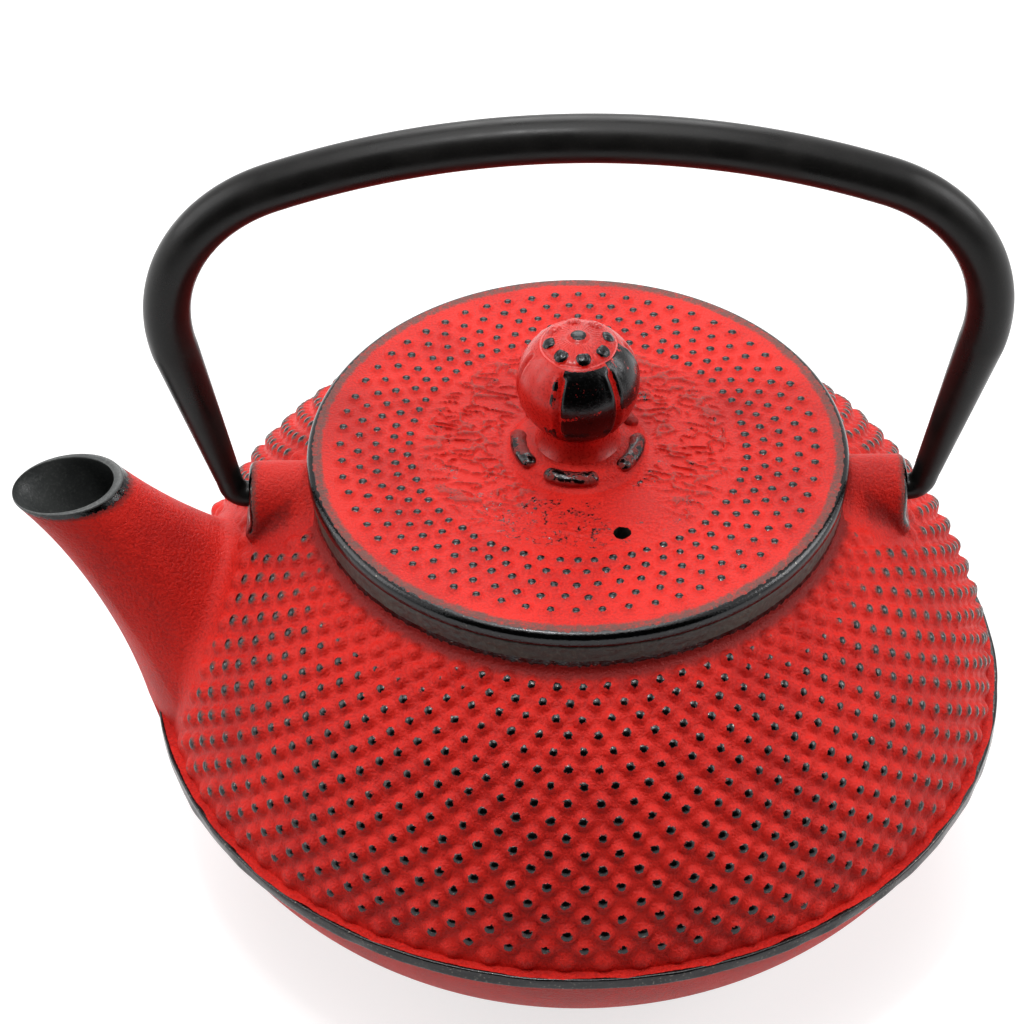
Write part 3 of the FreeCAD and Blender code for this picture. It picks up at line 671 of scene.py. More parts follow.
class Finishes:
    """All finishes of the teapot, made once."""

    def __init__(self) -> None:
        """Make the materials."""
        self.paint = RubbedPaint("red_paint_on_cast_iron").material()
        self.lid = RubbedPaint(
            "red_paint_on_lid", iron_rough=0.18, iron_depth=0.04, grain_depth=0.2, pale_share=0.66
        ).material()
        self.knob = RubbedPaint(
            "rubbed_knob_paint",
            paint_rough=0.3,
            iron_rough=0.22,
            specular=0.4,
            grain_depth=0.02,
            iron_depth=0.03,
            edge_size=0.5,
            edge_swing=0.9,
            pale_share=0.74,
        ).material()
        self.iron = Metal(
            "bare_cast_iron", (0.016, 0.015, 0.011, 1.0), (0.085, 0.08, 0.058, 1.0),
            rough=0.45, grain=0.7, depth=0.12,
        ).material()
        self.rim = Metal(
            "spout_rim_iron", (0.036, 0.039, 0.039, 1.0), (0.11, 0.115, 0.11, 1.0),
            rough=0.4, grain=0.5, depth=0.06,
        ).material()
        self.enamel = Metal(
            "black_enamel", (0.012, 0.013, 0.011, 1.0), (0.04, 0.042, 0.034, 1.0),
            rough=0.28, grain=0.9, depth=0.05,
        ).material()
        self.handle = Metal(
            "black_handle_lacquer", (0.0065, 0.0062, 0.006, 1.0), (0.014, 0.0125, 0.0115, 1.0),
            rough=0.32, grain=0.35, depth=0.012, specular=0.2,
        ).material()
        self.steel = Metal(
            "rolled_steel", (0.46, 0.46, 0.45, 1.0), (0.6, 0.6, 0.59, 1.0),
            rough=0.32, grain=0.5, depth=0.015, metallic=1.0,
        ).material()
        self.mesh = Metal(
            "strainer_sheet", (0.5, 0.5, 0.49, 1.0), (0.64, 0.64, 0.62, 1.0),
            rough=0.28, grain=0.3, depth=0.008, metallic=1.0,
        ).material()
        self.rivet = Metal(
            "hammered_steel", (0.3, 0.29, 0.28, 1.0), (0.48, 0.47, 0.45, 1.0),
            rough=0.42, grain=0.8, depth=0.06, metallic=1.0,
        ).material()


@dataclass
class Dressed:
    """A sub-assembly that has the finishes at hand."""

    finishes: Finishes


# Hobnails


@dataclass(frozen=True)
class StudRows:
    """Rings of hobnails on a turned surface: low bells with rubbed tips, none quite like the next."""

    count: int
    height: float
    steepness: float = 1.35
    stray: float = 0.1
    seed: int = 11
    tall_range: tuple[float, float] = (0.88, 1.06)
    black_range: tuple[float, float] = (0.98, 1.13)
    near: float = 1.3

    def raise_on(
        self,
        along: Array,
        reach: Array,
        turn: Array,
        rows: Array,
        bases: Array,
        starts: Array,
        tall: Array,
        black: Array,
    ) -> tuple[Array, Array]:
        """Height and tip of the studs at each point of a grid.

        A stud is its height times a power of one less the squared share of its base radius. The tip mark
        falls in a straight line from the stud's blackness in its middle to zero at its base.

        Args:
            along: Place of each grid row along the outline.
            reach: Distance of each grid row from the axis.
            turn: Angle of each grid column.
            rows: Place of each ring of studs along the outline.
            bases: Base radius of each ring's studs.
            starts: Angle of the first stud of each ring.
            tall: Share of the full height, for each ring and stud.
            black: Tip blackness, for each ring and stud.

        Returns:
            The height and the tip mark on the grid.
        """
        chance = np.random.default_rng(self.seed)
        shape = (len(rows), self.count)
        stray_across = chance.normal(0.0, self.stray, shape)
        stray_along = chance.normal(0.0, self.stray, shape)
        tall = tall * chance.uniform(*self.tall_range, shape)
        black = black * chance.uniform(*self.black_range, shape)
        height = np.zeros((len(along), len(turn)))
        tip = np.zeros_like(height)
        pitch = 360.0 / self.count
        for ring, place in enumerate(rows):
            near = np.abs(along - place) < bases[ring] * self.near
            number = np.round((turn - starts[ring]) / pitch).astype(int)
            angle = np.radians(turn - starts[ring] - number * pitch)
            number = number % self.count
            across = reach[near, None] * angle - stray_across[ring, number]
            upward = (along[near] - place)[:, None] - stray_along[ring, number]
            share = np.clip(np.hypot(across, upward) / bases[ring], 0.0, 1.0)
            bell = self.height * tall[ring, number] * (1.0 - share**2) ** self.steepness
            height[near] = np.maximum(height[near], bell)
            tip[near] = np.maximum(tip[near], black[ring, number] * (1.0 - share))
        return height, tip


# The pot


@dataclass(frozen=True)
class ShoulderArc:
    """The shoulder's outline: an arc turned about the pot's axis, and its wall."""

    radius: float = 59.9
    middle: tuple[float, float] = (14.468, 28.47)
    wall: float = 3.5

    def outline(self, angle: Array, rise: Array | float = 0.0) -> Array:
        """Reach and height at arc angles, raised square to the arc.

        Args:
            angle: Angles on the arc.
            rise: Height over the arc.

        Returns:
            Rows of reach and height.
        """
        radius = self.radius + rise
        slope = np.radians(angle)
        return gather(self.middle[0] + radius * np.cos(slope), self.middle[1] + radius * np.sin(slope))

    def gap(self, points: Array) -> Array:
        """How far points lie outside the shoulder."""
        reach = np.hypot(points[..., 0], points[..., 1])
        return np.hypot(reach - self.middle[0], points[..., 2] - self.middle[1]) - self.radius

    def outward(self, points: Array) -> Array:
        """Unit directions square to the shoulder.

        Args:
            points: Where they start.

        Returns:
            The directions.
        """
        reach = np.hypot(points[..., 0], points[..., 1])
        share = (reach - self.middle[0]) / reach
        upward = points[..., 2] - self.middle[1]
        return unit(gather(points[..., 0] * share, points[..., 1] * share, upward))

    def height_at(self, reach: Array) -> Array:
        """Height of the shoulder at a distance from the axis."""
        return self.middle[1] + np.sqrt(self.radius**2 - (reach - self.middle[0]) ** 2)


@dataclass
class Spout(Dressed):
    """The flared spout: a hollow cone with a curved outline, cut almost level at its mouth."""

    shoulder: ShoulderArc
    tip: tuple[float, float, float] = (-88.6, 0.0, 80.0)
    lean: float = 38.0
    cut: float = 30.0
    flare_arc: float = 101.5
    flare_middle: tuple[float, float] = (-4.02, 109.82)
    bore: float = 7.5
    bore_root: float = 10.5
    bore_shift: float = 0.6
    bore_squeeze: float = 0.1
    squeeze: float = 0.05
    lean_back: float = 0.4
    keel: float = 0.8
    keel_turn: float = 62.0
    keel_half: float = 25.0
    length: float = 46.0
    fillet: float = 2.4
    foot: float = 35.35
    inside_ridge: float = 74.8
    row_drop: float = 0.02
    least_fillet: float = 0.15
    depth_limits: tuple[float, float] = (10.0, 75.0)
    dives: tuple[float, float] = (0.6, 1.5)
    bore_end: float = 4.2
    flange: float = 4.0
    rim_rise: float = 0.35
    # Rows of the bore near the mouth that take the paler rim iron: painted light inside the mouth.
    painted_light_bore_rows: int = 18
    columns: int = 192

    def __post_init__(self) -> None:
        """Set the spout's own directions: along its axis, to the lip, square to its mouth and around."""
        lean = math.radians(self.lean)
        cut = math.radians(self.lean - self.cut)
        self.axis = np.array([-math.sin(lean), 0.0, math.cos(lean)])
        self.lipward = np.array([-math.cos(lean), 0.0, -math.sin(lean)])
        self.upward = np.array([-math.sin(cut), 0.0, math.cos(cut)])
        self.turn = np.radians(circle(self.columns))
        across = np.array([0.0, 1.0, 0.0])
        self.ways = np.cos(self.turn)[:, None] * self.lipward + np.sin(self.turn)[:, None] * across

    def radius(self, depth: Array) -> Array:
        """Outer radius at a depth below the mouth: the arc's middle less the arc's height there."""
        return self.flare_middle[1] - np.sqrt(self.flare_arc**2 - (depth - self.flare_middle[0]) ** 2)

    def gap(self, points: Array) -> Array:
        """How far points lie outside the spout's skin, square to its axis.

        Args:
            points: The points.

        Returns:
            Distances, below zero inside.
        """
        from_tip = points - np.array(self.tip)
        depth = np.clip(-(from_tip @ self.axis), -10.0, 70.0)
        beside = from_tip - (from_tip @ self.axis)[..., None] * self.axis
        return np.linalg.norm(beside, axis=-1) - self.radius(depth)

    def skin(self, depth: Array, swell: Array | float) -> Array:
        """Points of the skin at depths for each column, moved out square to it by swell.

        Args:
            depth: Depth of each column.
            swell: How far to move out.

        Returns:
            One point for each column.
        """
        slope = (depth - self.flare_middle[0]) / (self.flare_middle[1] - self.radius(depth))
        normal = unit(self.ways + slope[:, None] * self.axis)
        middle = np.array(self.tip) - depth[:, None] * self.axis
        swell = np.broadcast_to(swell, depth.shape)[:, None]
        from_keel = np.abs(apart(np.degrees(self.turn), 0.0) - self.keel_turn)
        keel = self.keel * np.clip(1.0 - from_keel / self.keel_half, 0.0, 1.0) * ease(depth, 4.0, 24.0)
        size = (self.radius(depth) + keel)[:, None]
        return self.settle(middle + size * self.ways + swell * normal, depth)

    def settle(self, points: Array, depth: Array) -> Array:
        """Points moved as the mouth was cast: a little narrower across and further back than its axis.

        Args:
            points: Plain points.
            depth: Their depths.

        Returns:
            The moved points.
        """
        near = ease(depth, 25.0, 0.0)
        across = points[:, 1] * (1.0 - self.squeeze * near) + self.lean_back * near
        return gather(points[:, 0], across, points[:, 2])

    def bore_at(self, depth: Array) -> Array:
        """Points of the bore at depths for each column; its middle lies nearer to the lip at the mouth.

        Args:
            depth: Depth of each column.

        Returns:
            One point for each column.
        """
        share = np.clip(depth / self.length, 0.0, 1.5)
        narrower = self.bore_squeeze * np.sin(self.turn) ** 2 * (1 - share)
        radius = self.bore - narrower + (self.bore_root - self.bore) * share
        shift = self.bore_shift * np.clip(1.0 - depth / 30.0, 0.0, 1.2)
        middle = np.array(self.tip) - depth[:, None] * self.axis + shift[:, None] * self.lipward
        return self.settle(middle + radius[:, None] * self.ways, depth)

    def mouth(self, points_at: ArrayFunction) -> Array:
        """Depth at which a surface of the spout meets the plane of its cut mouth."""
        low = np.full(self.columns, -9.0)
        return halve(lambda depth: (points_at(depth) - np.array(self.tip)) @ self.upward, low, low + 20.0)

    def build(self) -> bpy.types.Object:
        """Make the spout as one closed grid: skin, fillet, root inside the pot, bore and rim.

        Near the shoulder the skin follows a soft fillet: the root of its offset from the plain skin plus
        the root of its distance from the shoulder equals the root of the fillet's reach.

        Returns:
            The piece.
        """
        top = self.mouth(lambda depth: self.skin(depth, 0.0))
        low, high = (np.full(self.columns, limit) for limit in self.depth_limits)
        plain = self.skin(halve(lambda d: self.shoulder.gap(self.skin(d, 0.0)), low, high), 0.0)
        soft = self.least_fillet + self.fillet * ease(plain[:, 2], self.foot + 2.0, self.foot + 20.0)
        level = halve(lambda d: self.skin(d, 0.0)[:, 2] - self.foot, low, high)
        start = np.minimum(halve(lambda d: self.shoulder.gap(self.skin(d, 0.0)) - soft, low, high), level)
        fillet = []
        for row, share in enumerate(np.append(np.linspace(0.0, 0.85, 12), [0.91, 0.96, 1.0])):
            swell = soft * share**2
            wanted = soft * (1.0 - share) ** 2
            floor = self.foot - self.row_drop * row
            depth = halve(lambda d: self.shoulder.gap(self.skin(d, swell)) - wanted, low, high)
            points = self.skin(depth, swell)
            inward = self.inside_ridge / np.hypot(points[:, 0], points[:, 1])
            points[:, :2] *= np.where(points[:, 2] < self.foot, np.minimum(inward, 1.0), 1.0)[:, None]
            points[:, 2] = np.maximum(points[:, 2], floor)
            fillet.append(points)
        skin = [self.skin(top + (start - top) * share, 0.0) for share in np.linspace(0.0, 1.0, 56)[:-1]]
        dive = [fillet[-1] - depth * self.shoulder.outward(fillet[-1]) for depth in self.dives]
        inner_top = self.mouth(self.bore_at)
        inner_end = halve(lambda d: self.shoulder.gap(self.bore_at(d)) + self.bore_end, low, high)
        bore_length = inner_top - inner_end
        bore = [self.bore_at(inner_end + bore_length * share) for share in np.linspace(0.0, 1.0, 30)]
        flange = bore[0] + self.flange * self.ways
        sink = self.shoulder.gap(flange) + self.flange
        flange = flange - sink[:, None] * self.shoulder.outward(flange)
        rim = []
        for angle in np.radians(np.linspace(0.0, 180.0, 11)[1:-1]):
            share = (1 + math.cos(angle)) / 2
            rise = self.rim_rise * math.sin(angle) * self.upward
            rim.append((1 - share) * bore[-1] + share * skin[0] + rise)
        rows = [*skin, *fillet, *dive, flange, *bore]
        grid = np.stack([*rows, *rim[::-1]])
        from_mouth = np.linalg.norm(grid - skin[0][None], axis=-1)
        spill = ease(from_mouth, 2.3 - 1.6 * np.cos(self.turn)[None, :], 0.4)
        spill = np.where(np.arange(len(grid))[:, None] < len(skin), spill, 0.0)
        shell = Shell()
        numbers = shell.place(grid, bare=0.72 * spill, scuff=0.8 * spill, grime=0.9 * spill)
        last = len(skin) + len(fillet) + len(dive)
        lit = len(rows) - self.painted_light_bore_rows
        shell.cover(numbers[: last + 1], 0)
        shell.cover(numbers[last : lit + 1], 1)
        # The upper bore and the rim take the rim iron; in the bore its paler colour is painted light.
        closing = np.concatenate([numbers[lit:], numbers[:1]])
        shell.cover(closing, 2)
        coats = [self.finishes.paint, self.finishes.enamel, self.finishes.rim]
        return shell.face_outwards().build("pot_spout", coats)


@dataclass
class Ear(Dressed):
    """A lug beside the mouth ring that holds one end of the handle: a round-topped bar with a pin hole."""

    shoulder: ShoulderArc
    side: int
    half_width: float = 5.7
    axis_height: float = 78.0
    inner: float = 44.2
    end: float = 56.8
    rounding: float = 1.4
    hole: float = 2.36
    hole_depths: tuple[float, ...] = (0.25, 2.0, 7.2)
    hole_edge: float = 0.3
    fillet: float = 3.4
    end_fillet: float = 0.6
    flare: float = 1.4
    dive: float = 3.0
    row_turn: float = 0.012

    def at(self, points: Array, reach: float) -> Array:
        """Points moved along the ear to one distance from the pot's axis."""
        return np.concatenate([np.full((len(points), 1), reach), points[:, 1:]], axis=1)

    def flank(self, reach: Array, half: Array) -> list[Array]:
        """Points from the crest down one side into the shoulder, for each section.

        The side is a quarter circle above the pivot and straight below it. Near the shoulder a soft fillet
        takes over: the root of its distance from the side plus the root of its distance from the shoulder
        equals the root of the fillet's reach, which shrinks towards the ear's end.

        Args:
            reach: Distance of each section from the pot's axis.
            half: Half width of each section.

        Returns:
            Rows of points from the crest down.
        """
        soft = self.end_fillet + self.fillet * ease(self.end - reach, 0.0, 6.0)

        def side(way: Array, swell: Array | float) -> Array:
            """Points of the side, moved out by swell, at a way counted as the angle above the pivot.

            Args:
                way: Angle of each section's point.
                swell: How far to move out.

            Returns:
                One point for each section.
            """
            size = half + swell
            height = self.axis_height + size * np.where(way > 0.0, np.sin(way), way)
            return gather(reach, size * np.cos(np.maximum(way, 0.0)), height)

        low = np.full_like(reach, -3.0)
        crest = np.full_like(reach, math.pi / 2)
        fillet = []
        start = crest
        for row, share in enumerate(np.append(np.linspace(0.0, 0.9, 11), [0.96, 1.0])):
            swell = soft * share**2
            wanted = soft * (1 - share) ** 2
            highest = crest - self.row_turn * (row + 1)
            way = halve(lambda w: wanted - self.shoulder.gap(side(w, swell)), low, highest)
            start = way if share == 0.0 else start
            fillet.append(side(way, swell))
        upper = [side(crest + (start - crest) * part, 0.0) for part in np.linspace(0.0, 1.0, 20)[:-1]]
        dive = fillet[-1] - self.dive * self.shoulder.outward(fillet[-1])
        return [*upper, *fillet, dive]

    def build(self) -> bpy.types.Object:
        """Make the ear: sections along its length, its rounded end face, and the pin hole.

        Returns:
            The piece.
        """
        turn = np.radians(np.linspace(0.0, 90.0, 8))[1:]
        straight = np.linspace(self.inner, self.end - self.rounding, 18)
        reach = np.concatenate([straight, self.end - self.rounding * (1 - np.sin(turn))])
        half = self.half_width - np.concatenate([0.0 * straight, self.rounding * (1 - np.cos(turn))])
        flank = self.flank(reach, half)
        sections = np.stack([*(row * [1.0, -1.0, 1.0] for row in flank[:0:-1]), *flank], axis=1)
        middle = np.array([self.end, 0.0, self.axis_height])
        rim = sections[-1]
        way = unit(rim - middle)
        edge = middle + (self.hole + self.hole_edge) * way
        shares = (0.25, 0.5, 0.75, 1.0)
        face = [self.at((1 - share) * rim + share * edge, self.end) for share in shares]
        hole = [self.at(middle + self.hole * way, self.end - depth) for depth in self.hole_depths]
        grid = np.concatenate([sections, np.stack([*face, *hole])])
        along = grid[..., 0].copy()
        high = grid[..., 2] - self.shoulder.height_at(np.hypot(grid[..., 0], grid[..., 1]))
        lower = ease(grid[..., 2], self.axis_height - 2.8, self.axis_height - 7.5)
        grid[..., 0] += self.flare * lower * ease(along, self.end - 5.0, self.end) * ease(high, 0.0, 1.6)
        grid[..., 0] *= self.side
        rubbed = ease(along, self.end - 1.5, self.end - 0.3) * ease(high, 0.0, 3.0) * 0.72
        inside = np.arange(len(grid))[:, None] >= len(sections) + len(face) - 1
        # Painted shade: the red darkens along the ear's low flanks, just above the shoulder.
        dark_patch = 0.66 * ease(along, 47.0, 51.0) * ease(np.abs(high - 2.6), 3.6, 0.8)
        worn = 0.7 * ease(along, self.end - 2.4, self.end - 0.6) * ease(high, 0.0, 3.0)
        shell = Shell()
        numbers = shell.place(grid, bare=np.where(inside, 1.0, rubbed), scuff=worn, grime=dark_patch)
        shell.cover(numbers, 0)
        shell.cap(numbers, grid)
        name = "ear_left" if self.side < 0 else "ear_right"
        return shell.face_outwards().build(name, [self.finishes.paint])


@dataclass
class Pot(Dressed):
    """The casting: hobnailed shoulder, mouth ring, bowl, girth ridge, spout and ears."""

    shoulder: ShoulderArc = field(default_factory=ShoulderArc)
    girth: float = 76.0
    girth_height: float = 36.0
    ridge: float = 1.4
    ridge_face: float = 2.4
    ridge_edge: float = 0.35
    ridge_root: float = 72.6
    floor: float = 4.2
    base_hollow: float = 0.5
    bowl_radius: float = 51.0
    bowl_middle: tuple[float, float] = (26.04, 49.58)
    bowl_inner_radius: float = 47.5
    bowl_inner_middle: tuple[float, float] = (24.55, 48.76)
    ring: float = 46.0
    ring_top: float = 85.0
    ring_edge: float = 0.5
    ring_foot: tuple[float, float] = (45.6, 77.6)
    ring_bottom: tuple[float, float] = (44.6, 77.4)
    mouth_foot: float = 79.0
    ring_fillet: float = 1.3
    mouth: float = 39.4
    rebate: float = 42.6
    ledge: float = 83.8
    stud_rows: int = 18
    studs: StudRows = field(default_factory=lambda: StudRows(72, 1.3, steepness=0.9))
    stud_base: tuple[float, float] = (1.55, 1.95)
    first_stud: float = -0.2
    fine: int = 6
    fine_rows: int = 19
    bore_row: tuple[float, float] = (11.5, 4.0)
    bore_turn: tuple[float, float] = (179.8, 10.0)
    front: float = -90.0
    unworn_sides: tuple[float, float] = (-138.0, -30.0)

    def stud_angle(self, row: Array) -> Array:
        """Arc angle of a ring of studs: the rings stand a little further apart towards the girth."""
        return 55.6 - 2.508 * row - 0.0111 * row**2

    def stud_starts(self) -> Array:
        """Angle of the first stud of each ring: every second ring is turned by half a step."""
        half_step = 180.0 / self.studs.count
        return self.first_stud + half_step * (np.arange(self.stud_rows) % 2)

    def stud_limits(self, spout: Spout) -> tuple[Array, Array]:
        """How tall and how black each stud is: less beside the spout and ears, near ring and ridge.

        Args:
            spout: The spout.

        Returns:
            Shares of height and blackness for each ring and stud.
        """
        rows = np.arange(self.stud_rows)
        turn = self.stud_starts()[:, None] + circle(self.studs.count)
        outline = self.shoulder.outline(self.stud_angle(rows.astype(float)))
        reach = outline[:, :1]
        angle = np.radians(turn)
        height = np.broadcast_to(outline[:, 1:], turn.shape)
        points = gather(reach * np.cos(angle), reach * np.sin(angle), height)
        beside_spout = spout.gap(points)
        across, along = np.abs(points[..., 1]), np.abs(points[..., 0])
        beyond_ear = np.hypot(np.maximum(across - Ear.half_width, 0.0), np.maximum(along - Ear.end, 0.0))
        beyond_ear = beyond_ear - Ear.fillet * ease(Ear.end - along, 0.0, 6.0)
        tall = ease(beside_spout, 0.6, 6.0) * ease(beyond_ear, 0.4, 2.4)
        black = ease(beside_spout, 2.5, 9.0) * ease(beyond_ear, 0.8, 3.6)
        near_ring = ease(rows, 3.2, 0.6)[:, None]
        beside = np.minimum(*(apart(turn, side) for side in self.unworn_sides))
        unworn = ease(beside, 36.0, 10.0) * near_ring
        last = ease(rows, 15.6, 17.4)[:, None]
        facing = ease(apart(turn, self.front), 85.0, 25.0)
        low = ease(rows, 2.0, 13.0)[:, None]
        # Tips facing the front, most in the low rows, come out a little blacker: a painted dark reflection.
        rubbed = 0.97 + 0.03 * facing + 0.06 * low * facing
        tall = tall * (0.8 + 0.25 * low) * (1.0 - 0.3 * last)
        return tall, black * rubbed * (1.0 - 0.5 * unworn) * (1.0 - 0.6 * last)

    def build_shoulder(self, spout: Spout) -> bpy.types.Object:
        """Make the hobnailed shoulder: a fine grid outside, a coarse one inside, joined at the borders.

        Outside, each point stands on the shoulder's arc, raised square to it by the studs. One inner face
        lies under each block of fine faces, and the blocks over the spout's bore are left out.

        Args:
            spout: The spout.

        Returns:
            The piece.
        """
        fine = self.fine
        columns = self.studs.count * 2 * fine
        turn = circle(columns) + self.first_stud
        count = fine * self.fine_rows
        row = np.interp(np.arange(count + 1), [0, fine, count - 3, count], [-1.1, -0.5, 17.0, 17.75])
        angle = self.stud_angle(row)
        along = -np.radians(angle) * self.shoulder.radius
        reach = self.shoulder.outline(angle)[:, 0]
        rings = np.arange(self.stud_rows)
        tall, black = self.stud_limits(spout)
        places = -np.radians(self.stud_angle(rings.astype(float))) * self.shoulder.radius
        bases = np.interp(rings, [0, self.stud_rows - 1], self.stud_base)
        rise, tip = self.studs.raise_on(
            along, reach, turn, places, bases, self.stud_starts(), tall, black
        )
        outline = self.shoulder.outline(np.broadcast_to(angle[:, None], rise.shape), rise)
        fringe = 0.42 * ease(row, 0.2, -0.9)[:, None]
        # Painted shade: the red darkens in the crease just below the mouth ring.
        grime = 0.75 * ease(row, 0.2, -0.8)[:, None]
        # Brownish rings round the tips, none at the front: partly worn paint, partly painted sheen on the
        # sides.
        worn = 0.8 * ease(tip, 0.3, 0.5) * ease(apart(turn, self.front), 30.0, 75.0)
        shell = Shell()
        outer = shell.place(spin(outline, turn), bare=np.maximum(tip, fringe), scuff=worn, grime=grime)
        coarse = slice(None, None, fine)
        inner_outline = self.shoulder.outline(angle[coarse], -self.shoulder.wall)
        inner = shell.place(spin(inner_outline, turn[coarse]))
        block_row = (row[coarse][1:] + row[coarse][:-1])[:, None] / 2
        block_turn = (turn[coarse] + 180.0 / columns * fine)[None, :]
        off_row = np.abs(block_row - self.bore_row[0]) > self.bore_row[1]
        keep = off_row | (np.abs(block_turn - self.bore_turn[0]) > self.bore_turn[1])
        shell.cover(outer, 0, keep=np.repeat(np.repeat(keep, fine, axis=0), fine, axis=1))
        shell.cover(inner[::-1], 1, keep=keep[::-1])
        self.join_borders(shell, outer, inner, keep)
        return shell.face_outwards().build("pot_shoulder", [self.finishes.paint, self.finishes.enamel])

    def join_borders(self, shell: Shell, outer: Array, inner: Array, keep: Array) -> None:
        """Lay the walls along the borders of the kept blocks, each from a fine edge to a coarse one.

        Args:
            shell: The shell.
            outer: Numbers of the fine outer points.
            inner: Numbers of the coarse inner points.
            keep: Which blocks are kept.
        """
        fine = self.fine
        outer = np.concatenate([outer, outer[:, :1]], axis=1)
        inner = np.concatenate([inner, inner[:, :1]], axis=1)
        framed = np.pad(keep, ((1, 1), (0, 0)))
        steps = np.arange(fine + 1)
        for below in (False, True):
            row, column = np.nonzero(framed[:-1] & ~framed[1:] if below else framed[1:] & ~framed[:-1])
            edge = outer[(row * fine)[:, None], (column * fine)[:, None] + steps]
            back = np.stack([inner[row, column + 1], inner[row, column]], axis=1)
            wall = np.concatenate([edge, back], axis=1)
            shell.faces.append((wall if below else wall[:, ::-1], 1))
        for right in (False, True):
            beside = np.roll(keep, -1 if right else 1, axis=1)
            row, column = np.nonzero(keep & ~beside)
            column = column + int(right)
            edge = outer[(row * fine)[:, None] + steps, (column * fine)[:, None]]
            back = np.stack([inner[row + 1, column], inner[row, column]], axis=1)
            wall = np.concatenate([edge, back], axis=1)
            shell.faces.append((wall[:, ::-1] if right else wall, 1))

    def build_ring(self) -> bpy.types.Object:
        """Make the mouth ring: wall, top, rebate and mouth, with a hollow fillet down to the shoulder.

        Returns:
            The piece.
        """
        turn = circle(720)
        soft = self.ring_fillet
        across = self.ring + soft - self.shoulder.middle[0]
        upward = math.sqrt((self.shoulder.radius + soft) ** 2 - across**2)
        slope = math.degrees(math.atan2(upward, across))
        fillet = arc((self.ring + soft, self.shoulder.middle[1] + upward), soft, 180.0, 180.0 + slope, 9)
        foot = [tuple(self.shoulder.outline(np.array(slope - 1.0), -0.25)), self.ring_foot]
        inside = [self.ring_bottom, (self.mouth, self.mouth_foot), (self.mouth, self.ledge)]
        rebate = [(self.rebate, self.ledge), (self.rebate, self.ring_top - 0.3)]
        inner_edge = (self.rebate + 0.3, self.ring_top)
        edge = self.ring_edge
        top = [
            run((self.ring - edge, self.ring_top)),
            arc((self.ring - edge, self.ring_top - edge), edge, 75.0, 0.0, 5),
            run((self.ring, 84.0), (self.ring, 81.6), step=0.4),
        ]
        lit = sum(len(part) for part in top) - 1
        hidden = lit + len(fillet) + 2
        back = run(*foot, *inside, *rebate, inner_edge, step=1.2)
        outline = spread(np.concatenate([*top, fillet, back]), turn)
        rough = cloud(turn[None, :] * 1.3, outline[..., 1] * 1.6, 1.0, 5) - 0.5
        rough = rough * fade_seam(turn, 4.0)
        wall = (outline[..., 0] > self.ring - 0.2) & (outline[..., 1] > 79.5)
        outline[..., 0] += np.where(wall, 0.16 * rough, 0.0)
        bare = ease(outline[..., 1] + 0.4 * rough, 79.3, 81.3) * 1.1
        shell = Shell()
        # Painted shade: the red darkens towards the ring's foot, in the crease with the shoulder.
        numbers = shell.place(spin(outline, turn), bare=bare, grime=ease(outline[..., 1], 82.0, 79.8))
        shell.cover(numbers[: lit + 1], 2)
        shell.cover(numbers[lit : hidden + 1], 0)
        shell.cover(np.concatenate([numbers[hidden:], numbers[:1]]), 1)
        coats = [self.finishes.paint, self.finishes.enamel, self.finishes.iron]
        return shell.face_outwards().build("mouth_ring", coats)

    def build_bowl(self) -> bpy.types.Object:
        """Make the bowl below the girth: outside arc, base with a shallow hollow, inside arc and floor.

        Returns:
            The piece.
        """
        turn = circle(360)
        hollow = self.base_hollow
        outside = arc(self.bowl_middle, self.bowl_radius, -16.2, -75.0, 46)
        base = run((37.4, 0.0), (34.0, 0.0), (33.0, hollow), (1.0, hollow), step=2.0)
        floor = run((1.0, self.floor), (40.5, self.floor), step=3.0)
        inside = arc(self.bowl_inner_middle, self.bowl_inner_radius, -69.4, -15.6, 24)
        outline = np.concatenate([outside, base])
        inner = np.concatenate([floor, inside])
        shell = Shell()
        outer_numbers = shell.place(spin(outline, turn), bare=ease(outline[:, 1:], 1.2, 0.2))
        inner_numbers = shell.place(spin(inner, turn))
        shell.cover(outer_numbers, 0)
        shell.close(outer_numbers[-1], (0.0, 0.0, hollow), 0)
        shell.cover(inner_numbers, 1)
        shell.close(inner_numbers[0], (0.0, 0.0, self.floor), 1, first=True)
        shell.cover(np.stack([inner_numbers[-1], outer_numbers[0]]), 1)
        return shell.face_outwards().build("pot_bowl", [self.finishes.paint, self.finishes.enamel])

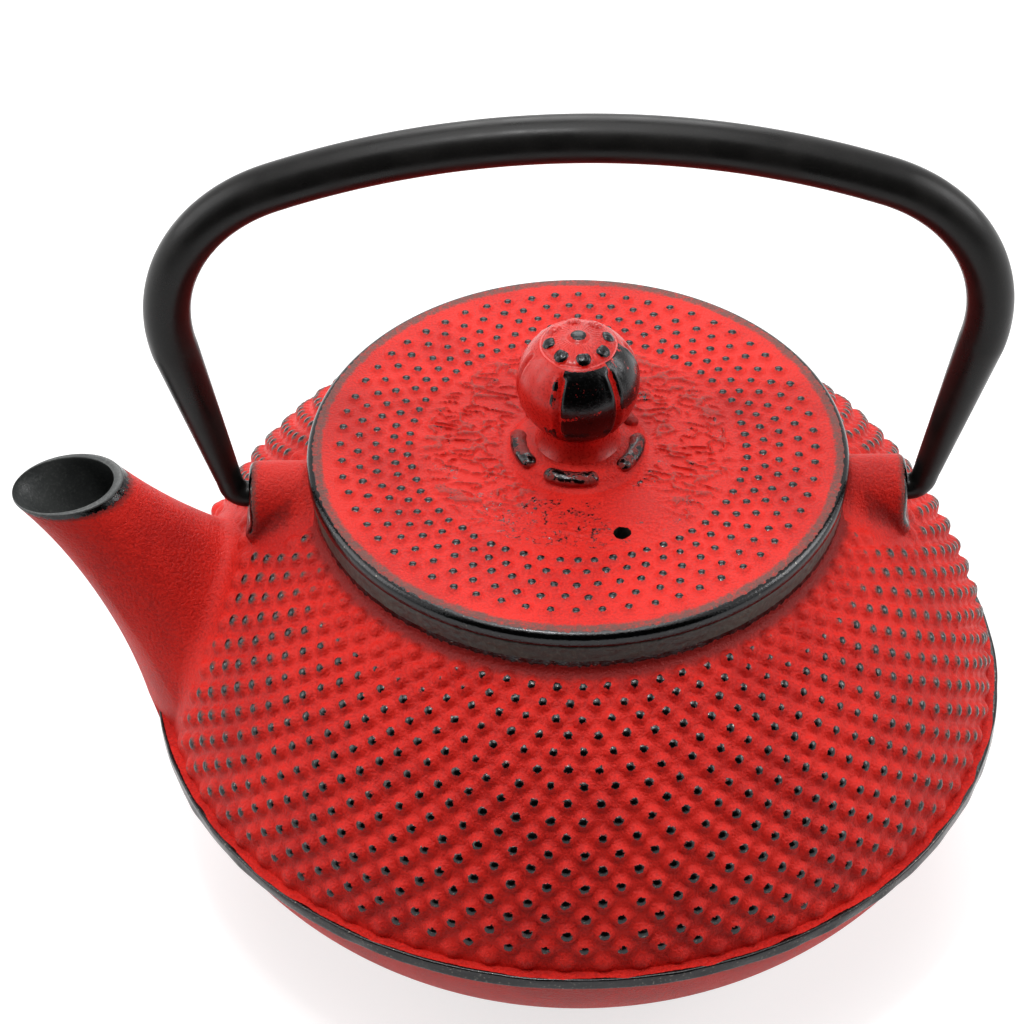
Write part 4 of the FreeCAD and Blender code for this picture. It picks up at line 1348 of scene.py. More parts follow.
    def build_ridge(self) -> bpy.types.Object:
        """Make the girth ridge: a thin band with worn edges, its outer face a little uneven.

        Returns:
            The piece.
        """
        turn = circle(720)
        high = self.girth_height + self.ridge / 2
        low = high - self.ridge_face
        edge = self.ridge_edge
        outline = np.concatenate(
            [
                run((self.ridge_root, high - 0.05), (self.girth - edge, high), step=0.4),
                arc((self.girth - edge, high - edge), edge, 70.0, 0.0, 4),
                run((self.girth, high - 0.8), (self.girth, low + 0.8), step=0.4),
                arc((self.girth - edge, low + edge), edge, 0.0, -90.0, 5),
                run((self.girth - 1.0, low), (self.ridge_root, low - 0.6), step=0.8),
            ]
        )
        outline = spread(outline, turn)
        uneven = cloud(turn[None, :], outline[..., 1] * 2.0, 3.0, 21) * fade_seam(turn, 6.0)
        outline[..., 0] -= 0.22 * uneven * (outline[..., 0] > self.girth - 0.8)
        wear = cloud(turn[None, :] * 0.8, outline[..., 1], 2.2, 22)
        on_edge = ease(outline[..., 0] + 0.7 * (wear - 0.5), self.girth - 0.9, self.girth - 0.4)
        upper = ease(outline[..., 1] + 0.4 * wear, low + 0.1, low + 0.6)
        scuff = on_edge * (1.0 - upper)
        shell = Shell()
        numbers = shell.place(spin(outline, turn), bare=1.1 * on_edge * upper, scuff=scuff)
        shell.cover(numbers, 0, hoop=True)
        return shell.face_outwards().build("girth_ridge", [self.finishes.paint])

    def build(self) -> None:
        """Make the pot's pieces and set them on the pot."""
        spout = Spout(self.finishes, self.shoulder)
        pieces = [
            self.build_shoulder(spout),
            self.build_ring(),
            self.build_bowl(),
            self.build_ridge(),
            spout.build(),
            Ear(self.finishes, self.shoulder, -1).build(),
            Ear(self.finishes, self.shoulder, 1).build(),
        ]
        for piece in pieces:
            mount(piece, Body.POT, Slot.RED_IRON, "pot_body")


# The lid


@dataclass
class LidPlate(Dressed):
    """The flat lid: hobnails near its edge, wrinkles round the knob, a steam hole and a flange below."""

    radius: float = 46.6
    top: float = 88.0
    seat: float = 85.0
    top_round: float = 1.4
    under_round: float = 0.8
    flange: float = 36.6
    flange_inner: float = 34.0
    flange_foot: float = 78.0
    rivet_hole: float = 2.46
    steam_hole: float = 1.5
    steam_reach: float = 23.1
    steam_turn: float = 287.5
    step: float = 0.25
    block: int = 6
    columns: int = 600
    painted_edge: int = 16
    wrinkle_height: float = 0.42
    rings: tuple[float, ...] = (28.96, 31.88, 34.76, 37.82, 40.84)
    stud_base: float = 1.35
    stud_shift: float = 1.45
    stud_black: float = 1.15
    studs: StudRows = field(default_factory=lambda: StudRows(60, 0.72, stray=0.14, seed=23))

    def outline(self) -> tuple[Array, int]:
        """The lid's closed outline, from the rivet hole over the top, round the edge and back below.

        Returns:
            The outline, and the number of its points on the top face.
        """
        inner_rows = self.steam_reach + self.step * np.arange(-46, 17)
        stud_rows = np.arange(27.5, 43.1, 0.47)
        flat = self.radius - self.top_round
        top_reach = np.concatenate(
            [[self.rivet_hole, 6.0, 9.5, 10.8], inner_rows, stud_rows, np.linspace(43.4, flat, 6)]
        )
        top = gather(top_reach, np.full_like(top_reach, self.top))
        block_rows = self.steam_reach + self.step * np.arange(self.block + 2, -self.block - 3, -1)
        under_reach = np.concatenate(
            [[33.0, 30.5, 28.0, 26.5], block_rows, [19.5, 17.0, 13.0, 9.0, 6.0, self.rivet_hole]]
        )
        under = gather(under_reach, np.full_like(under_reach, self.seat))
        upper_edge = arc((flat, self.top - self.top_round), self.top_round, 78.0, 0.0, 8)
        under_middle = (self.radius - self.under_round, self.seat + self.under_round)
        lower_edge = arc(under_middle, self.under_round, 0.0, -90.0, 6)
        flange = run(
            (self.flange + 0.2, self.seat),
            (self.flange, self.seat - 0.3),
            (self.flange, self.flange_foot + 0.4),
            (self.flange - 0.4, self.flange_foot),
            (self.flange_inner + 0.4, self.flange_foot),
            (self.flange_inner, self.flange_foot + 0.4),
            (self.flange_inner, self.seat - 0.3),
            (self.flange_inner - 0.2, self.seat),
            step=2.4,
        )
        return np.concatenate([top, upper_edge, lower_edge, flange, under]), len(top)

    def wrinkles(self, across: Array, along: Array, reach: Array) -> Array:
        """Short wavy wrinkles: broken crests where either of two drawn-out noises crosses its middle.

        Args:
            across: Place along X.
            along: Place along Y.
            reach: Distance from the axis.

        Returns:
            Share of wrinkle, from 0 to 1.
        """
        long = cloud(across * 0.42 + 200.0, along + 200.0, 1.25, 41)
        short = cloud(across * 0.5 + 300.0, along + 0.3 * across + 300.0, 1.2, 42)
        broken = cloud(across * 0.8 + 500.0, along + 500.0, 1.7, 43)
        crest = np.maximum(
            ease(np.abs(long - 0.5), 0.16, 0.03) * ease(broken, 0.36, 0.52),
            ease(np.abs(short - 0.5), 0.15, 0.03) * ease(broken, 0.56, 0.42),
        )
        zone = ease(reach, 12.6, 14.4) * ease(reach, 28.0, 25.6)
        smooth = ease(along, -9.0, -12.0) * ease(along, -22.0, -17.0)
        smooth = smooth * ease(np.abs(across - 4.0), 13.0, 7.0)
        front = ease(along, -12.0, -19.0) * ease(np.abs(across), 22.0, 12.0)
        return crest * zone * (1.0 - smooth) * (1.0 - 0.5 * front)

    def flecks(self, across: Array, along: Array, reach: Array) -> Array:
        """Where small flecks of paint are missing: left in front of the knob, and at spots round it.

        Args:
            across: Place along X.
            along: Place along Y.
            reach: Distance from the axis.

        Returns:
            Strength of the flecks.
        """
        round_knob = ease(reach, 12.0, 14.0) * ease(reach, 27.5, 25.5)
        front = ease(along, -10.0, -15.0) * ease(np.abs(across + 6.0), 16.0, 9.0)
        stray = ease(cloud(across + 900.0, along + 900.0, 2.4, 46), 0.55, 0.75)
        spots = cloud(across + 950.0, along + 950.0, 0.9, 48)
        return round_knob * np.maximum(front, stray) * (0.84 + 0.32 * spots)

    def build(self) -> bpy.types.Object:
        """Make the lid as one closed grid with the steam hole cut through it.

        Round the hole, points are drawn in so that a square block's border becomes the hole's circle.

        Returns:
            The piece.
        """
        outline, top_count = self.outline()
        turn = circle(self.columns)
        grid = spin(outline, turn)
        reach = outline[:, 0]
        on_top = np.arange(len(outline)) < top_count
        rings = np.arange(len(self.rings))
        starts = np.where(rings % 2 == 0, -self.stud_shift, self.stud_shift)
        full = np.ones((len(self.rings), self.studs.count))
        bases = np.full(len(self.rings), self.stud_base)
        rise, tip = self.studs.raise_on(
            reach, reach, turn, np.array(self.rings), bases, starts, full, self.stud_black * full
        )
        wrinkle = self.wrinkles(grid[..., 0], grid[..., 1], reach[:, None])
        fleck = self.flecks(grid[..., 0], grid[..., 1], reach[:, None])
        grid[..., 2] += np.where(on_top[:, None], rise + self.wrinkle_height * wrinkle, 0.0)
        edge = np.cumsum(np.hypot(*np.diff(outline, axis=0, prepend=outline[:1]).T))
        past = edge - edge[top_count - 1]
        rough = cloud(turn[None, :] * 1.6 + 50.0, past[:, None] * 2.0 + 50.0, 1.0, 44)
        bare = on_top[:, None] * np.maximum.reduce([tip, 0.5 * wrinkle, 0.53 * fleck])
        bare = np.maximum(bare, ease(past[:, None] + 0.5 * (rough - 0.5), 0.0, 0.8) * 1.3)
        streak = cloud(turn[None, :] * 0.5 + 80.0, past[:, None] * 2.4 + 80.0, 1.0, 47)
        scuff = ease(past[:, None] + 0.6 * (streak - 0.5), -1.8, -0.6) * (0.5 + 0.5 * rough)
        scuff = np.maximum.reduce([scuff, 0.45 * ease(wrinkle, 0.35, 0.8), 0.8 * ease(tip, 0.45, 0.75)])
        self.warp(grid)
        shell = Shell()
        numbers = shell.place(grid, bare=bare, scuff=scuff)
        middle_column = round(self.steam_turn * self.columns / 360.0)
        half = round(self.step * self.block / math.radians(360.0 / self.columns) / self.steam_reach)
        columns = np.arange(middle_column - half, middle_column + half + 1)
        radii = self.steam_reach + self.step * np.arange(-self.block, self.block + 1)
        upper = np.array([np.argmin(np.abs(reach[:top_count] - r)) for r in radii])
        lower = np.array([top_count + np.argmin(np.abs(reach[top_count:] - r)) for r in radii])
        keep = np.ones((len(outline), self.columns), bool)
        keep[upper[0] : upper[-1], columns[0] : columns[-1]] = False
        keep[lower[-1] : lower[0], columns[0] : columns[-1]] = False
        painted = top_count + self.painted_edge
        shell.cover(numbers[: painted + 1], 0, keep=keep[:painted])
        shell.cover(np.concatenate([numbers[painted:], numbers[:1]]), 1, keep=keep[painted:])
        walls = [self.border(numbers, rows, columns) for rows in (upper, lower)]
        shell.cover(np.stack(walls), 1)
        return shell.face_outwards().build("lid_plate_cast", [self.finishes.lid, self.finishes.enamel])

    def border(self, numbers: Array, rows: Array, columns: Array) -> Array:
        """Point numbers round a block's border, starting at its inner left corner."""
        return np.concatenate(
            [
                numbers[rows[0], columns[:-1]],
                numbers[rows[:-1], columns[-1]],
                numbers[rows[-1], columns[:0:-1]],
                numbers[rows[:0:-1], columns[0]],
            ]
        )

    def warp(self, grid: Array) -> None:
        """Draw the points round the steam hole in, from a square's border to a circle.

        Args:
            grid: The lid's points, which are changed.
        """
        turn = math.radians(self.steam_turn)
        out = np.array([math.cos(turn), math.sin(turn)])
        side = np.array([-math.sin(turn), math.cos(turn)])
        middle = self.steam_reach * out
        reach = np.hypot(grid[..., 0], grid[..., 1])
        angle = np.arctan2(grid[..., 0] * side[0] + grid[..., 1] * side[1], grid[..., :2] @ out)
        across = self.steam_reach * angle
        outward = reach - self.steam_reach
        size = self.step * self.block
        square = np.maximum(np.abs(across), np.abs(outward)) / size
        distance = np.maximum(np.hypot(across, outward), 1e-9)
        share = np.clip(square - 1.0, 0.0, 1.0)
        moved = self.steam_hole + (distance - self.steam_hole) * share
        near = square < 2.0
        factor = (moved / distance)[..., None]
        flat = middle + factor * (across[..., None] * side + outward[..., None] * out)
        plain = middle + across[..., None] * side + outward[..., None] * out
        grid[..., :2] += np.where(near[..., None], flat - plain, 0.0)


@dataclass
class Knob(Dressed):
    """The ball knob: a waisted foot, six upright grooves and a rosette of raised petals on top."""

    radius: float = 10.4
    middle: float = 102.8
    neck: float = 6.2
    foot: float = 7.4
    foot_height: float = 90.2
    neck_arc: float = 6.0
    rosette: float = 6.6
    rosette_arc: float = 14.0
    groove: float = 0.55
    groove_depth: float = 0.55
    groove_turn: float = 9.5
    groove_lip: float = 0.12
    grooves: int = 6
    petals: int = 8
    first_petal: float = -81.4
    petal_ring: float = 5.1
    petal: tuple[float, float] = (1.35, 1.1)
    petal_height: float = 0.6
    boss: float = 1.7
    boss_height: float = 0.55
    pleats: int = 40
    pleat_height: float = 0.08
    border_ring: float = 6.15
    border_depth: float = 0.2
    dome_points: int = 34
    ball_foot: float = 93.0
    columns: int = 288

    def outline(self) -> Array:
        """From the foot up the waisted neck, round the ball and over the rosette's dome.

        Returns:
            Rows of reach and height.
        """
        low = math.degrees(-math.acos(self.neck / self.radius))
        high = math.degrees(math.acos(self.rosette / self.radius))
        neck_top = self.middle - math.sqrt(self.radius**2 - self.neck**2)
        chord = np.array([self.neck - self.foot, neck_top - self.foot_height])
        length = np.linalg.norm(chord)
        square = np.array([chord[1], -chord[0]]) / length
        bow = math.sqrt(self.neck_arc**2 - (length / 2) ** 2)
        middle = np.array([self.foot, self.foot_height]) + chord / 2 + bow * square
        first = math.degrees(math.atan2(self.foot_height - middle[1], self.foot - middle[0]))
        last = math.degrees(math.atan2(neck_top - middle[1], self.neck - middle[0]))
        neck = arc(tuple(middle), self.neck_arc, first % 360.0, last % 360.0, 14)
        ball = arc((0.0, self.middle), self.radius, low, high, 64)
        disc_edge = self.middle + math.sqrt(self.radius**2 - self.rosette**2)
        dome_middle = disc_edge - math.sqrt(self.rosette_arc**2 - self.rosette**2)
        edge_angle = math.degrees(math.acos(self.rosette / self.rosette_arc))
        dome = arc((0.0, dome_middle), self.rosette_arc, edge_angle, 88.0, self.dome_points)
        return np.concatenate([neck, ball[1:], dome[1:]])

    def build(self) -> bpy.types.Object:
        """Make the knob: the turned outline, less the grooves, plus the rosette's bumps and pleats.

        Returns:
            The piece.
        """
        turn = circle(self.columns)
        outline = self.outline()
        count = len(outline)
        reach, height = outline[:, :1], outline[:, 1:]
        step = 360.0 / self.grooves
        from_groove = (turn - self.groove_turn + step / 2) % step - step / 2
        arc_off = np.radians(from_groove)[None, :] * reach
        rise = np.degrees(np.arctan2(height - self.middle, reach))
        long = ease(np.abs(rise + 3.0), 47.0, 40.0)
        long = long * (height > self.ball_foot)
        cut = np.exp(-((arc_off / self.groove) ** 2) * 2.0) * long
        lip = np.exp(-(((np.abs(arc_off) - 1.05) / 0.4) ** 2)) * long
        on_disc = np.arange(count)[:, None] > count - self.dome_points
        petal_step = 360.0 / self.petals
        from_petal = (turn - self.first_petal + petal_step / 2) % petal_step - petal_step / 2
        tangent = np.radians(from_petal)[None, :] * reach
        across, along = tangent / self.petal[0], (reach - self.petal_ring) / self.petal[1]
        petal = np.sqrt(np.clip(1.0 - np.abs(across) ** 2.5 - np.abs(along) ** 2.5, 0.0, 1.0))
        boss = np.clip(1.0 - (reach / self.boss) ** 2, 0.0, 1.0) * np.ones((1, self.columns))
        pleat = 0.5 + 0.5 * np.cos(np.radians(turn) * self.pleats)[None, :]
        pleat = pleat * ease(reach, 1.6, 2.6) * ease(reach, 6.0, 5.0)
        border = np.exp(-(((reach - self.border_ring) / 0.3) ** 2))
        lift = self.petal_height * petal + self.boss_height * np.sqrt(boss)
        lift = lift + self.pleat_height * pleat - self.border_depth * border
        lift = np.where(on_disc, lift, 0.0)
        dent = np.where(on_disc, 0.0, self.groove_depth * cut - self.groove_lip * lip)
        ball_way = unit(gather(reach, height - self.middle))
        shaped = [reach - dent * ball_way[..., 0], height - dent * ball_way[..., 1] + lift]
        grid = spin(gather(*shaped), turn)
        behind = 1.0 - 0.75 * ease(np.sin(np.radians(turn)), 0.1, 0.6)[None, :]
        bare = self.rubbing(turn, height, cut, on_disc, np.maximum(petal * behind, boss))
        shell = Shell()
        turned_right = ease(apart(turn, -30.0), 60.0, 20.0)[None, :]
        # Painted shade under the ball, from below its middle down to the neck, and a darker red on its front
        # right around and above the middle.
        grime = np.maximum(0.7 * ease(height, 100.0, 96.0), 0.6 * turned_right * ease(height, 107.0, 101.0))
        grime = grime * ease(height, 93.4, 94.8)
        numbers = shell.place(grid, bare=bare, grime=np.where(on_disc, 0.0, grime))
        shell.cover(numbers, 0)
        shell.close(numbers[-1], (0.0, 0.0, grid[-1, :, 2].mean() + 0.01), bare=1.0)
        shell.close(numbers[0], (0.0, 0.0, self.foot_height), first=True)
        return shell.face_outwards().build("knob_ball", [self.finishes.knob])

    def rubbing(self, turn: Array, height: Array, cut: Array, on_disc: Array, raised: Array) -> Array:
        """Where the knob is rubbed black: the front panel most, petals, the right side, and the underside,
        where the black is partly painted shade.

        Args:
            turn: Angle of each column.
            height: Height of each row.
            cut: Share of groove at each point.
            on_disc: Which rows are on the rosette.
            raised: Share of petal or boss at each point.

        Returns:
            The bare mark.
        """
        angle = ((turn + 180.0) % 360.0 - 180.0)[None, :]
        spots = cloud(angle / 3.4 + 60.0, height * 1.1, 1.0, 51)
        blots = cloud(angle / 11.0 + 60.0, height * 0.45, 1.0, 53)
        streaks = cloud(angle / 16.0 + 60.0, height * 2.6, 1.0, 52)
        front = ease(angle, -112.0, -110.0) * ease(angle, -49.0, -51.0) * ease(height, 110.9, 110.3)
        front = front * ease(height, 94.6, 95.8)
        line = ease(np.abs(height - 103.3 - 0.03 * (angle + 90.0)), 0.8, 0.25) * ease(angle, -62.0, -72.0)
        streaked = 0.7 * ease(streaks, 0.5, 0.8) * ease(height, 103.0, 101.5)
        scuffs = np.maximum(line * (0.7 + 0.3 * spots), streaked)
        grains = ease(np.abs(height - 108.0), 2.4, 0.8) * ease(blots, 0.3, 0.6)
        front = front * (1.05 - 0.55 * scuffs - 0.28 * grains)
        right = ease(angle, -50.0, -48.0) * ease(angle, 12.0, -4.0) * ease(height, 99.0, 104.5)
        right = right * (0.42 + 0.55 * blots + 0.3 * spots)
        dark_patch = ease(np.abs(angle + 116.5), 6.0, 2.0) * ease(np.abs(height - 107.0), 4.0, 1.4)
        dark_patch = dark_patch * (0.5 + 0.7 * spots)
        back = ease(np.abs(angle - 70.0), 50.0, 20.0) * ease(height, 100.0, 106.0) * (0.35 + 0.5 * spots)
        # The underside's black is partly rubbed iron and partly painted shade under the ball.
        under = ease(height, 98.2, 95.6) * ease(height, 93.6, 94.8) * (0.6 + 0.35 * spots)
        left = ease(angle, -150.0, -118.0) * ease(angle, -109.0, -111.0) * ease(height, 102.5, 99.0)
        left = left * ease(height, 94.6, 95.8) * (0.4 + 0.5 * spots)
        bare = np.maximum.reduce([front, right, 0.9 * dark_patch, back, under, left])
        bare = bare * (1.0 - 0.95 * np.clip(cut * 1.4, 0.0, 1.0))
        return np.where(on_disc, ease(raised, 0.1, 0.6) * (0.75 + 0.35 * spots), bare)


@dataclass
class KnobSeat(Dressed):
    """The plum-blossom collar under the knob: a low hub that bears a ring of five petal beads."""

    lid_top: float = 88.0
    foot: float = 12.5
    shoulder: tuple[float, float] = (10.6, 1.45)
    top: float = 7.42
    thickness: float = 2.2
    hole: float = 5.0
    sink: float = 0.2
    bead_ring: float = 10.2
    bead: float = 1.4
    bead_height: float = 1.6
    bead_arc: float = 54.0
    bead_turns: tuple[float, ...] = (-21.0, 46.0, 118.0, 194.0, 262.0)

    def build(self) -> bpy.types.Object:
        """Make the collar: a turned hub with a hollow foot, and each bead a bent tube with rounded ends.

        Returns:
            The piece.
        """
        low = self.lid_top - self.sink
        high = self.lid_top + self.thickness
        under_beads = (self.bead_ring - 0.6, self.lid_top + 1.75)
        share = np.linspace(0.0, 1.0, 14)
        hollow = gather(
            self.foot + (self.shoulder[0] - self.foot) * share,
            self.lid_top - 0.04 + (self.shoulder[1] + 0.04) * share**1.7,
        )
        outline = np.concatenate(
            [
                run((self.hole, low), (self.foot, low)),
                hollow,
                run(under_beads, (self.top, high), (self.hole, high), step=0.5),
            ]
        )
        hub = Shell()
        hub.cover(hub.place(spin(outline, circle(192))), 0, hoop=True)
        collar = hub.face_outwards()
        for middle in self.bead_turns:
            collar.join(self.bead_shell(middle))
        return collar.build("knob_collar", [self.finishes.paint])

    def bead_shell(self, middle: float) -> Shell:
        """Make one bead: a lumpy tube bent round the hub, its radius falling to zero at both ends.

        Args:
            middle: Angle of the bead's middle.

        Returns:
            The bead, closed and facing outwards.
        """
        around = np.radians(circle(20))[None, :]
        ends = np.linspace(-1.0, 1.0, 41)
        half = self.bead_arc / 2
        end_share = self.bead / math.radians(half) / self.bead_ring
        from_end = np.clip((1.0 - np.abs(ends)) / end_share, 0.0, 1.0)
        size = self.bead * np.sqrt(np.clip(1.0 - (1.0 - from_end) ** 2, 0.0, 1.0))[1:-1, None]
        turn = np.radians(middle + half * ends)
        angle = turn[1:-1, None]
        degrees = np.degrees(angle)
        lumps = 1.0 + 0.1 * (cloud(degrees / 5.0 + 100, around * 3, 1.0, 61) - 0.5)
        middle_height = self.lid_top + self.bead_height
        reach = self.bead_ring + size * np.cos(around) * lumps
        height = middle_height + 0.85 * size * np.sin(around) * lumps
        facing = ease(np.sin(angle), 0.2, -0.3)
        spots = cloud(degrees / 6.0 + 140, around * 2, 1.0, 62)
        upper = ease(height, middle_height - 0.6, middle_height + 0.4)
        worn = (0.44 + 0.38 * spots) * (0.6 + 0.4 * facing)
        scuff = 0.85 * upper * (0.5 + 0.5 * facing)
        bead = Shell()
        grid = gather(reach * np.cos(angle), reach * np.sin(angle), height)
        numbers = bead.place(grid, bare=worn * upper, scuff=scuff, grime=0.6)
        bead.cover(numbers, 0)
        tips = self.bead_ring * gather(np.cos(turn), np.sin(turn))
        bead.close(numbers[-1], (*tips[-1], middle_height))
        bead.close(numbers[0], (*tips[0], middle_height), first=True)
        return bead.face_outwards()


@dataclass
class Lid(Dressed):
    """The lid with its knob, collar, rivet and washer."""

    def build(self) -> None:
        """Make the lid's pieces and set them on the lid; rivet and washer keep their CAD shapes."""
        mount(LidPlate(self.finishes).build(), Body.LID, Slot.RED_IRON, "lid_plate")
        mount(KnobSeat(self.finishes).build(), Body.LID, Slot.RED_IRON, "knob_seat")
        mount(Knob(self.finishes).build(), Body.LID, Slot.KNOB_IRON, "lid_knob")
        dress_node("knob_rivet", self.finishes.rivet)
        dress_node("rivet_washer", self.finishes.steel)


def dress_node(name: str, coat: bpy.types.Material) -> None:
    """Give a CAD node that stays in view its finish.

    Args:
        name: The node.
        coat: The finish.
    """
    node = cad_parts[name]
    node.data.materials.clear()
    node.data.materials.append(coat)
    LOG.info("%s: CAD shape kept", name)


# The strainer


@dataclass
class Strainer(Dressed):
    """The lift-out strainer: a rim and a base ring of sheet steel with a perforated wall and floor."""

    outer: float = 38.0
    inner: float = 37.4
    low: float = 37.5
    high: float = 83.8
    floor: float = 37.35
    floor_low: float = 37.5
    floor_high: float = 38.1
    hole: float = 0.32
    wall_holes: tuple[int, int] = (22, 120)
    floor_holes: int = 28
    crease: float = 30.0

    def punch(
        self, rows: int, columns: int, ring: bool, front: ArrayFunction, back: ArrayFunction
    ) -> Shell:
        """Make a perforated sheet: a lattice of square cells, each with an eight-sided hole through it.

        Args:
            rows: Number of rows of cells.
            columns: Number of cells in a row.
            ring: Whether the last column joins the first.
            front: Maps cell coordinates, as row and column, to the front face.
            back: Maps them to the back face.

        Returns:
            The sheet.
        """
        steps_down = np.arange(2 * rows + 1) / 2
        steps_across = np.arange(2 * columns + int(not ring)) / 2
        lattice = np.stack(np.meshgrid(steps_down, steps_across, indexing="ij"), axis=-1)
        round_cell = np.array([[-1, -1], [-1, 0], [-1, 1], [0, 1], [1, 1], [1, 0], [1, -1], [0, -1]])
        cell = np.stack(np.meshgrid(np.arange(rows), np.arange(columns), indexing="ij"), axis=-1)
        corner = 2 * cell[..., None, :] + 1 + round_cell
        holes = cell[..., None, :] + 0.5 + self.hole * unit(round_cell)
        sheet = Shell()
        loops = []
        for face in (front, back):
            points = sheet.place(face(lattice))
            edge = points[corner[..., 0], corner[..., 1] % points.shape[1]]
            inner = sheet.place(face(holes))
            loops.append((points, edge, inner))
        (top, top_edge, top_hole), (under, under_edge, under_hole) = loops
        for first, second in ((top_edge, top_hole), (under_hole, under_edge), (top_hole, under_hole)):
            next_first, next_second = (np.roll(loop, -1, axis=-1) for loop in (first, second))
            quads = gather(first, next_first, next_second, second)
            sheet.faces.append((quads.reshape(-1, 4), 0))
        sheet.cover(np.stack([under[0], top[0]]), 0, ring=ring)
        sheet.cover(np.stack([top[-1], under[-1]]), 0, ring=ring)
        if not ring:
            sheet.cover(np.stack([top[:, 0], under[:, 0]]), 0, ring=False)
            sheet.cover(np.stack([under[:, -1], top[:, -1]]), 0, ring=False)
        return sheet.face_outwards()

    def build(self) -> None:
        """Make the perforated wall and floor; the sheet rings keep their CAD shapes."""
        rows, columns = self.wall_holes

        def wall(reach: float) -> ArrayFunction:
            """A face of the wall: columns turn about the axis and rows go down it."""

            def face(place: Array) -> Array:
                """Points of the wall at cell coordinates.

                Args:
                    place: Row and column.

                Returns:
                    The points.
                """
                turn = place[..., 1] * 2.0 * math.pi / columns
                height = self.high + (self.low - self.high) * place[..., 0] / rows
                return gather(reach * np.cos(turn), reach * np.sin(turn), height)

            return face

        def floor(height: float) -> ArrayFunction:
            """A face of the floor: a square of cells drawn out evenly to a disc."""

            def face(place: Array) -> Array:
                """Points of the floor at cell coordinates.

                Args:
                    place: Row and column.

                Returns:
                    The points.
                """
                share = place / self.floor_holes * 2.0 - 1.0
                across = share[..., 0] * np.sqrt(1.0 - share[..., 1] ** 2 / 2.0)
                along = share[..., 1] * np.sqrt(1.0 - share[..., 0] ** 2 / 2.0)
                level = np.full_like(across, height)
                return gather(self.floor * across, self.floor * along, level)

            return face

        sheet = self.punch(rows, columns, True, wall(self.outer), wall(self.inner))
        piece = sheet.build("strainer_wall", [self.finishes.mesh], self.crease)
        mount(piece, Body.INFUSER, Slot.STRAINER_MESH, "infuser_wall")
        count = self.floor_holes
        sheet = self.punch(count, count, False, floor(self.floor_high), floor(self.floor_low))
        piece = sheet.build("strainer_floor", [self.finishes.mesh], self.crease)
        mount(piece, Body.INFUSER, Slot.STRAINER_MESH, "infuser_floor")
        dress_node("infuser_rim", self.finishes.steel)
        dress_node("infuser_base_ring", self.finishes.steel)


# The handle


@dataclass
class Handle(Dressed):
    """The arched handle: a tube with a flat crown, round bends and tapering legs, on two elbow pins."""

    crown: float = 140.0
    crown_middle: float = 13.5
    bend: float = 28.67
    bend_middle: tuple[float, float] = (39.73, 117.5)
    lean: float = 14.0
    end_height: float = 82.4
    radius: float = 3.98
    end_radius: float = 2.36
    columns: int = 64

    def half_path(self) -> tuple[Array, Array, Array]:
        """The right half of the tube's middle line, from its crown to its end.

        Returns:
            Points as reach and height, directions square to the line, and the tube's radius.
        """
        turn_end = math.degrees(math.asin(self.bend_middle[0] / (self.crown - self.bend)))
        crown_turn = np.linspace(0.0, turn_end, 60)
        bend_turn = np.linspace(turn_end, 90.0 + self.lean, 70)[1:]
        angle = np.radians(np.concatenate([crown_turn, bend_turn]))
        way = gather(np.sin(angle), np.cos(angle))
        points = np.where(
            (np.arange(len(angle)) < len(crown_turn))[:, None],
            np.array([0.0, self.crown_middle]) + self.crown * way,
            np.array(self.bend_middle) + self.bend * way,
        )
        lean = math.radians(self.lean)
        length = (points[-1, 1] - self.end_height) / math.cos(lean)
        share = np.linspace(0.0, 1.0, 40)[1:]
        leg = points[-1] - length * share[:, None] * np.array([math.sin(lean), math.cos(lean)])
        radius = np.concatenate(
            [np.full(len(angle), self.radius), self.radius + (self.end_radius - self.radius) * share]
        )
        leg_way = np.repeat(way[-1:], len(leg), axis=0)
        return np.concatenate([points, leg]), np.concatenate([way, leg_way]), radius

    def build(self) -> None:
        """Make the tube, a circle carried along its line with closed ends; the pins keep their CAD shapes."""
        points, way, radius = self.half_path()
        points = np.concatenate([(points * [-1.0, 1.0])[:0:-1], points])
        way = np.concatenate([(way * [-1.0, 1.0])[:0:-1], way])
        radius = np.concatenate([radius[:0:-1], radius])
        around = np.radians(circle(self.columns))
        out = radius[:, None] * np.cos(around)
        across = points[:, :1] + out * way[:, :1]
        height = points[:, 1:] + out * way[:, 1:]
        grid = gather(across, radius[:, None] * np.sin(around), height)
        shell = Shell()
        numbers = shell.place(grid)
        shell.cover(numbers, 0)
        shell.cap(numbers, grid)
        piece = shell.face_outwards().build("handle_arch", [self.finishes.handle])
        mount(piece, Body.HANDLE, Slot.BLACK_STEEL, "handle_tube")
        dress_node("handle_pin_left", self.finishes.handle)
        dress_node("handle_pin_right", self.finishes.handle)


# The studio


@dataclass(frozen=True)
class Lamp:
    """A square soft light: its place and side in metres and its power in watts."""

    name: str
    place: tuple[float, float, float]
    size: float
    power: float


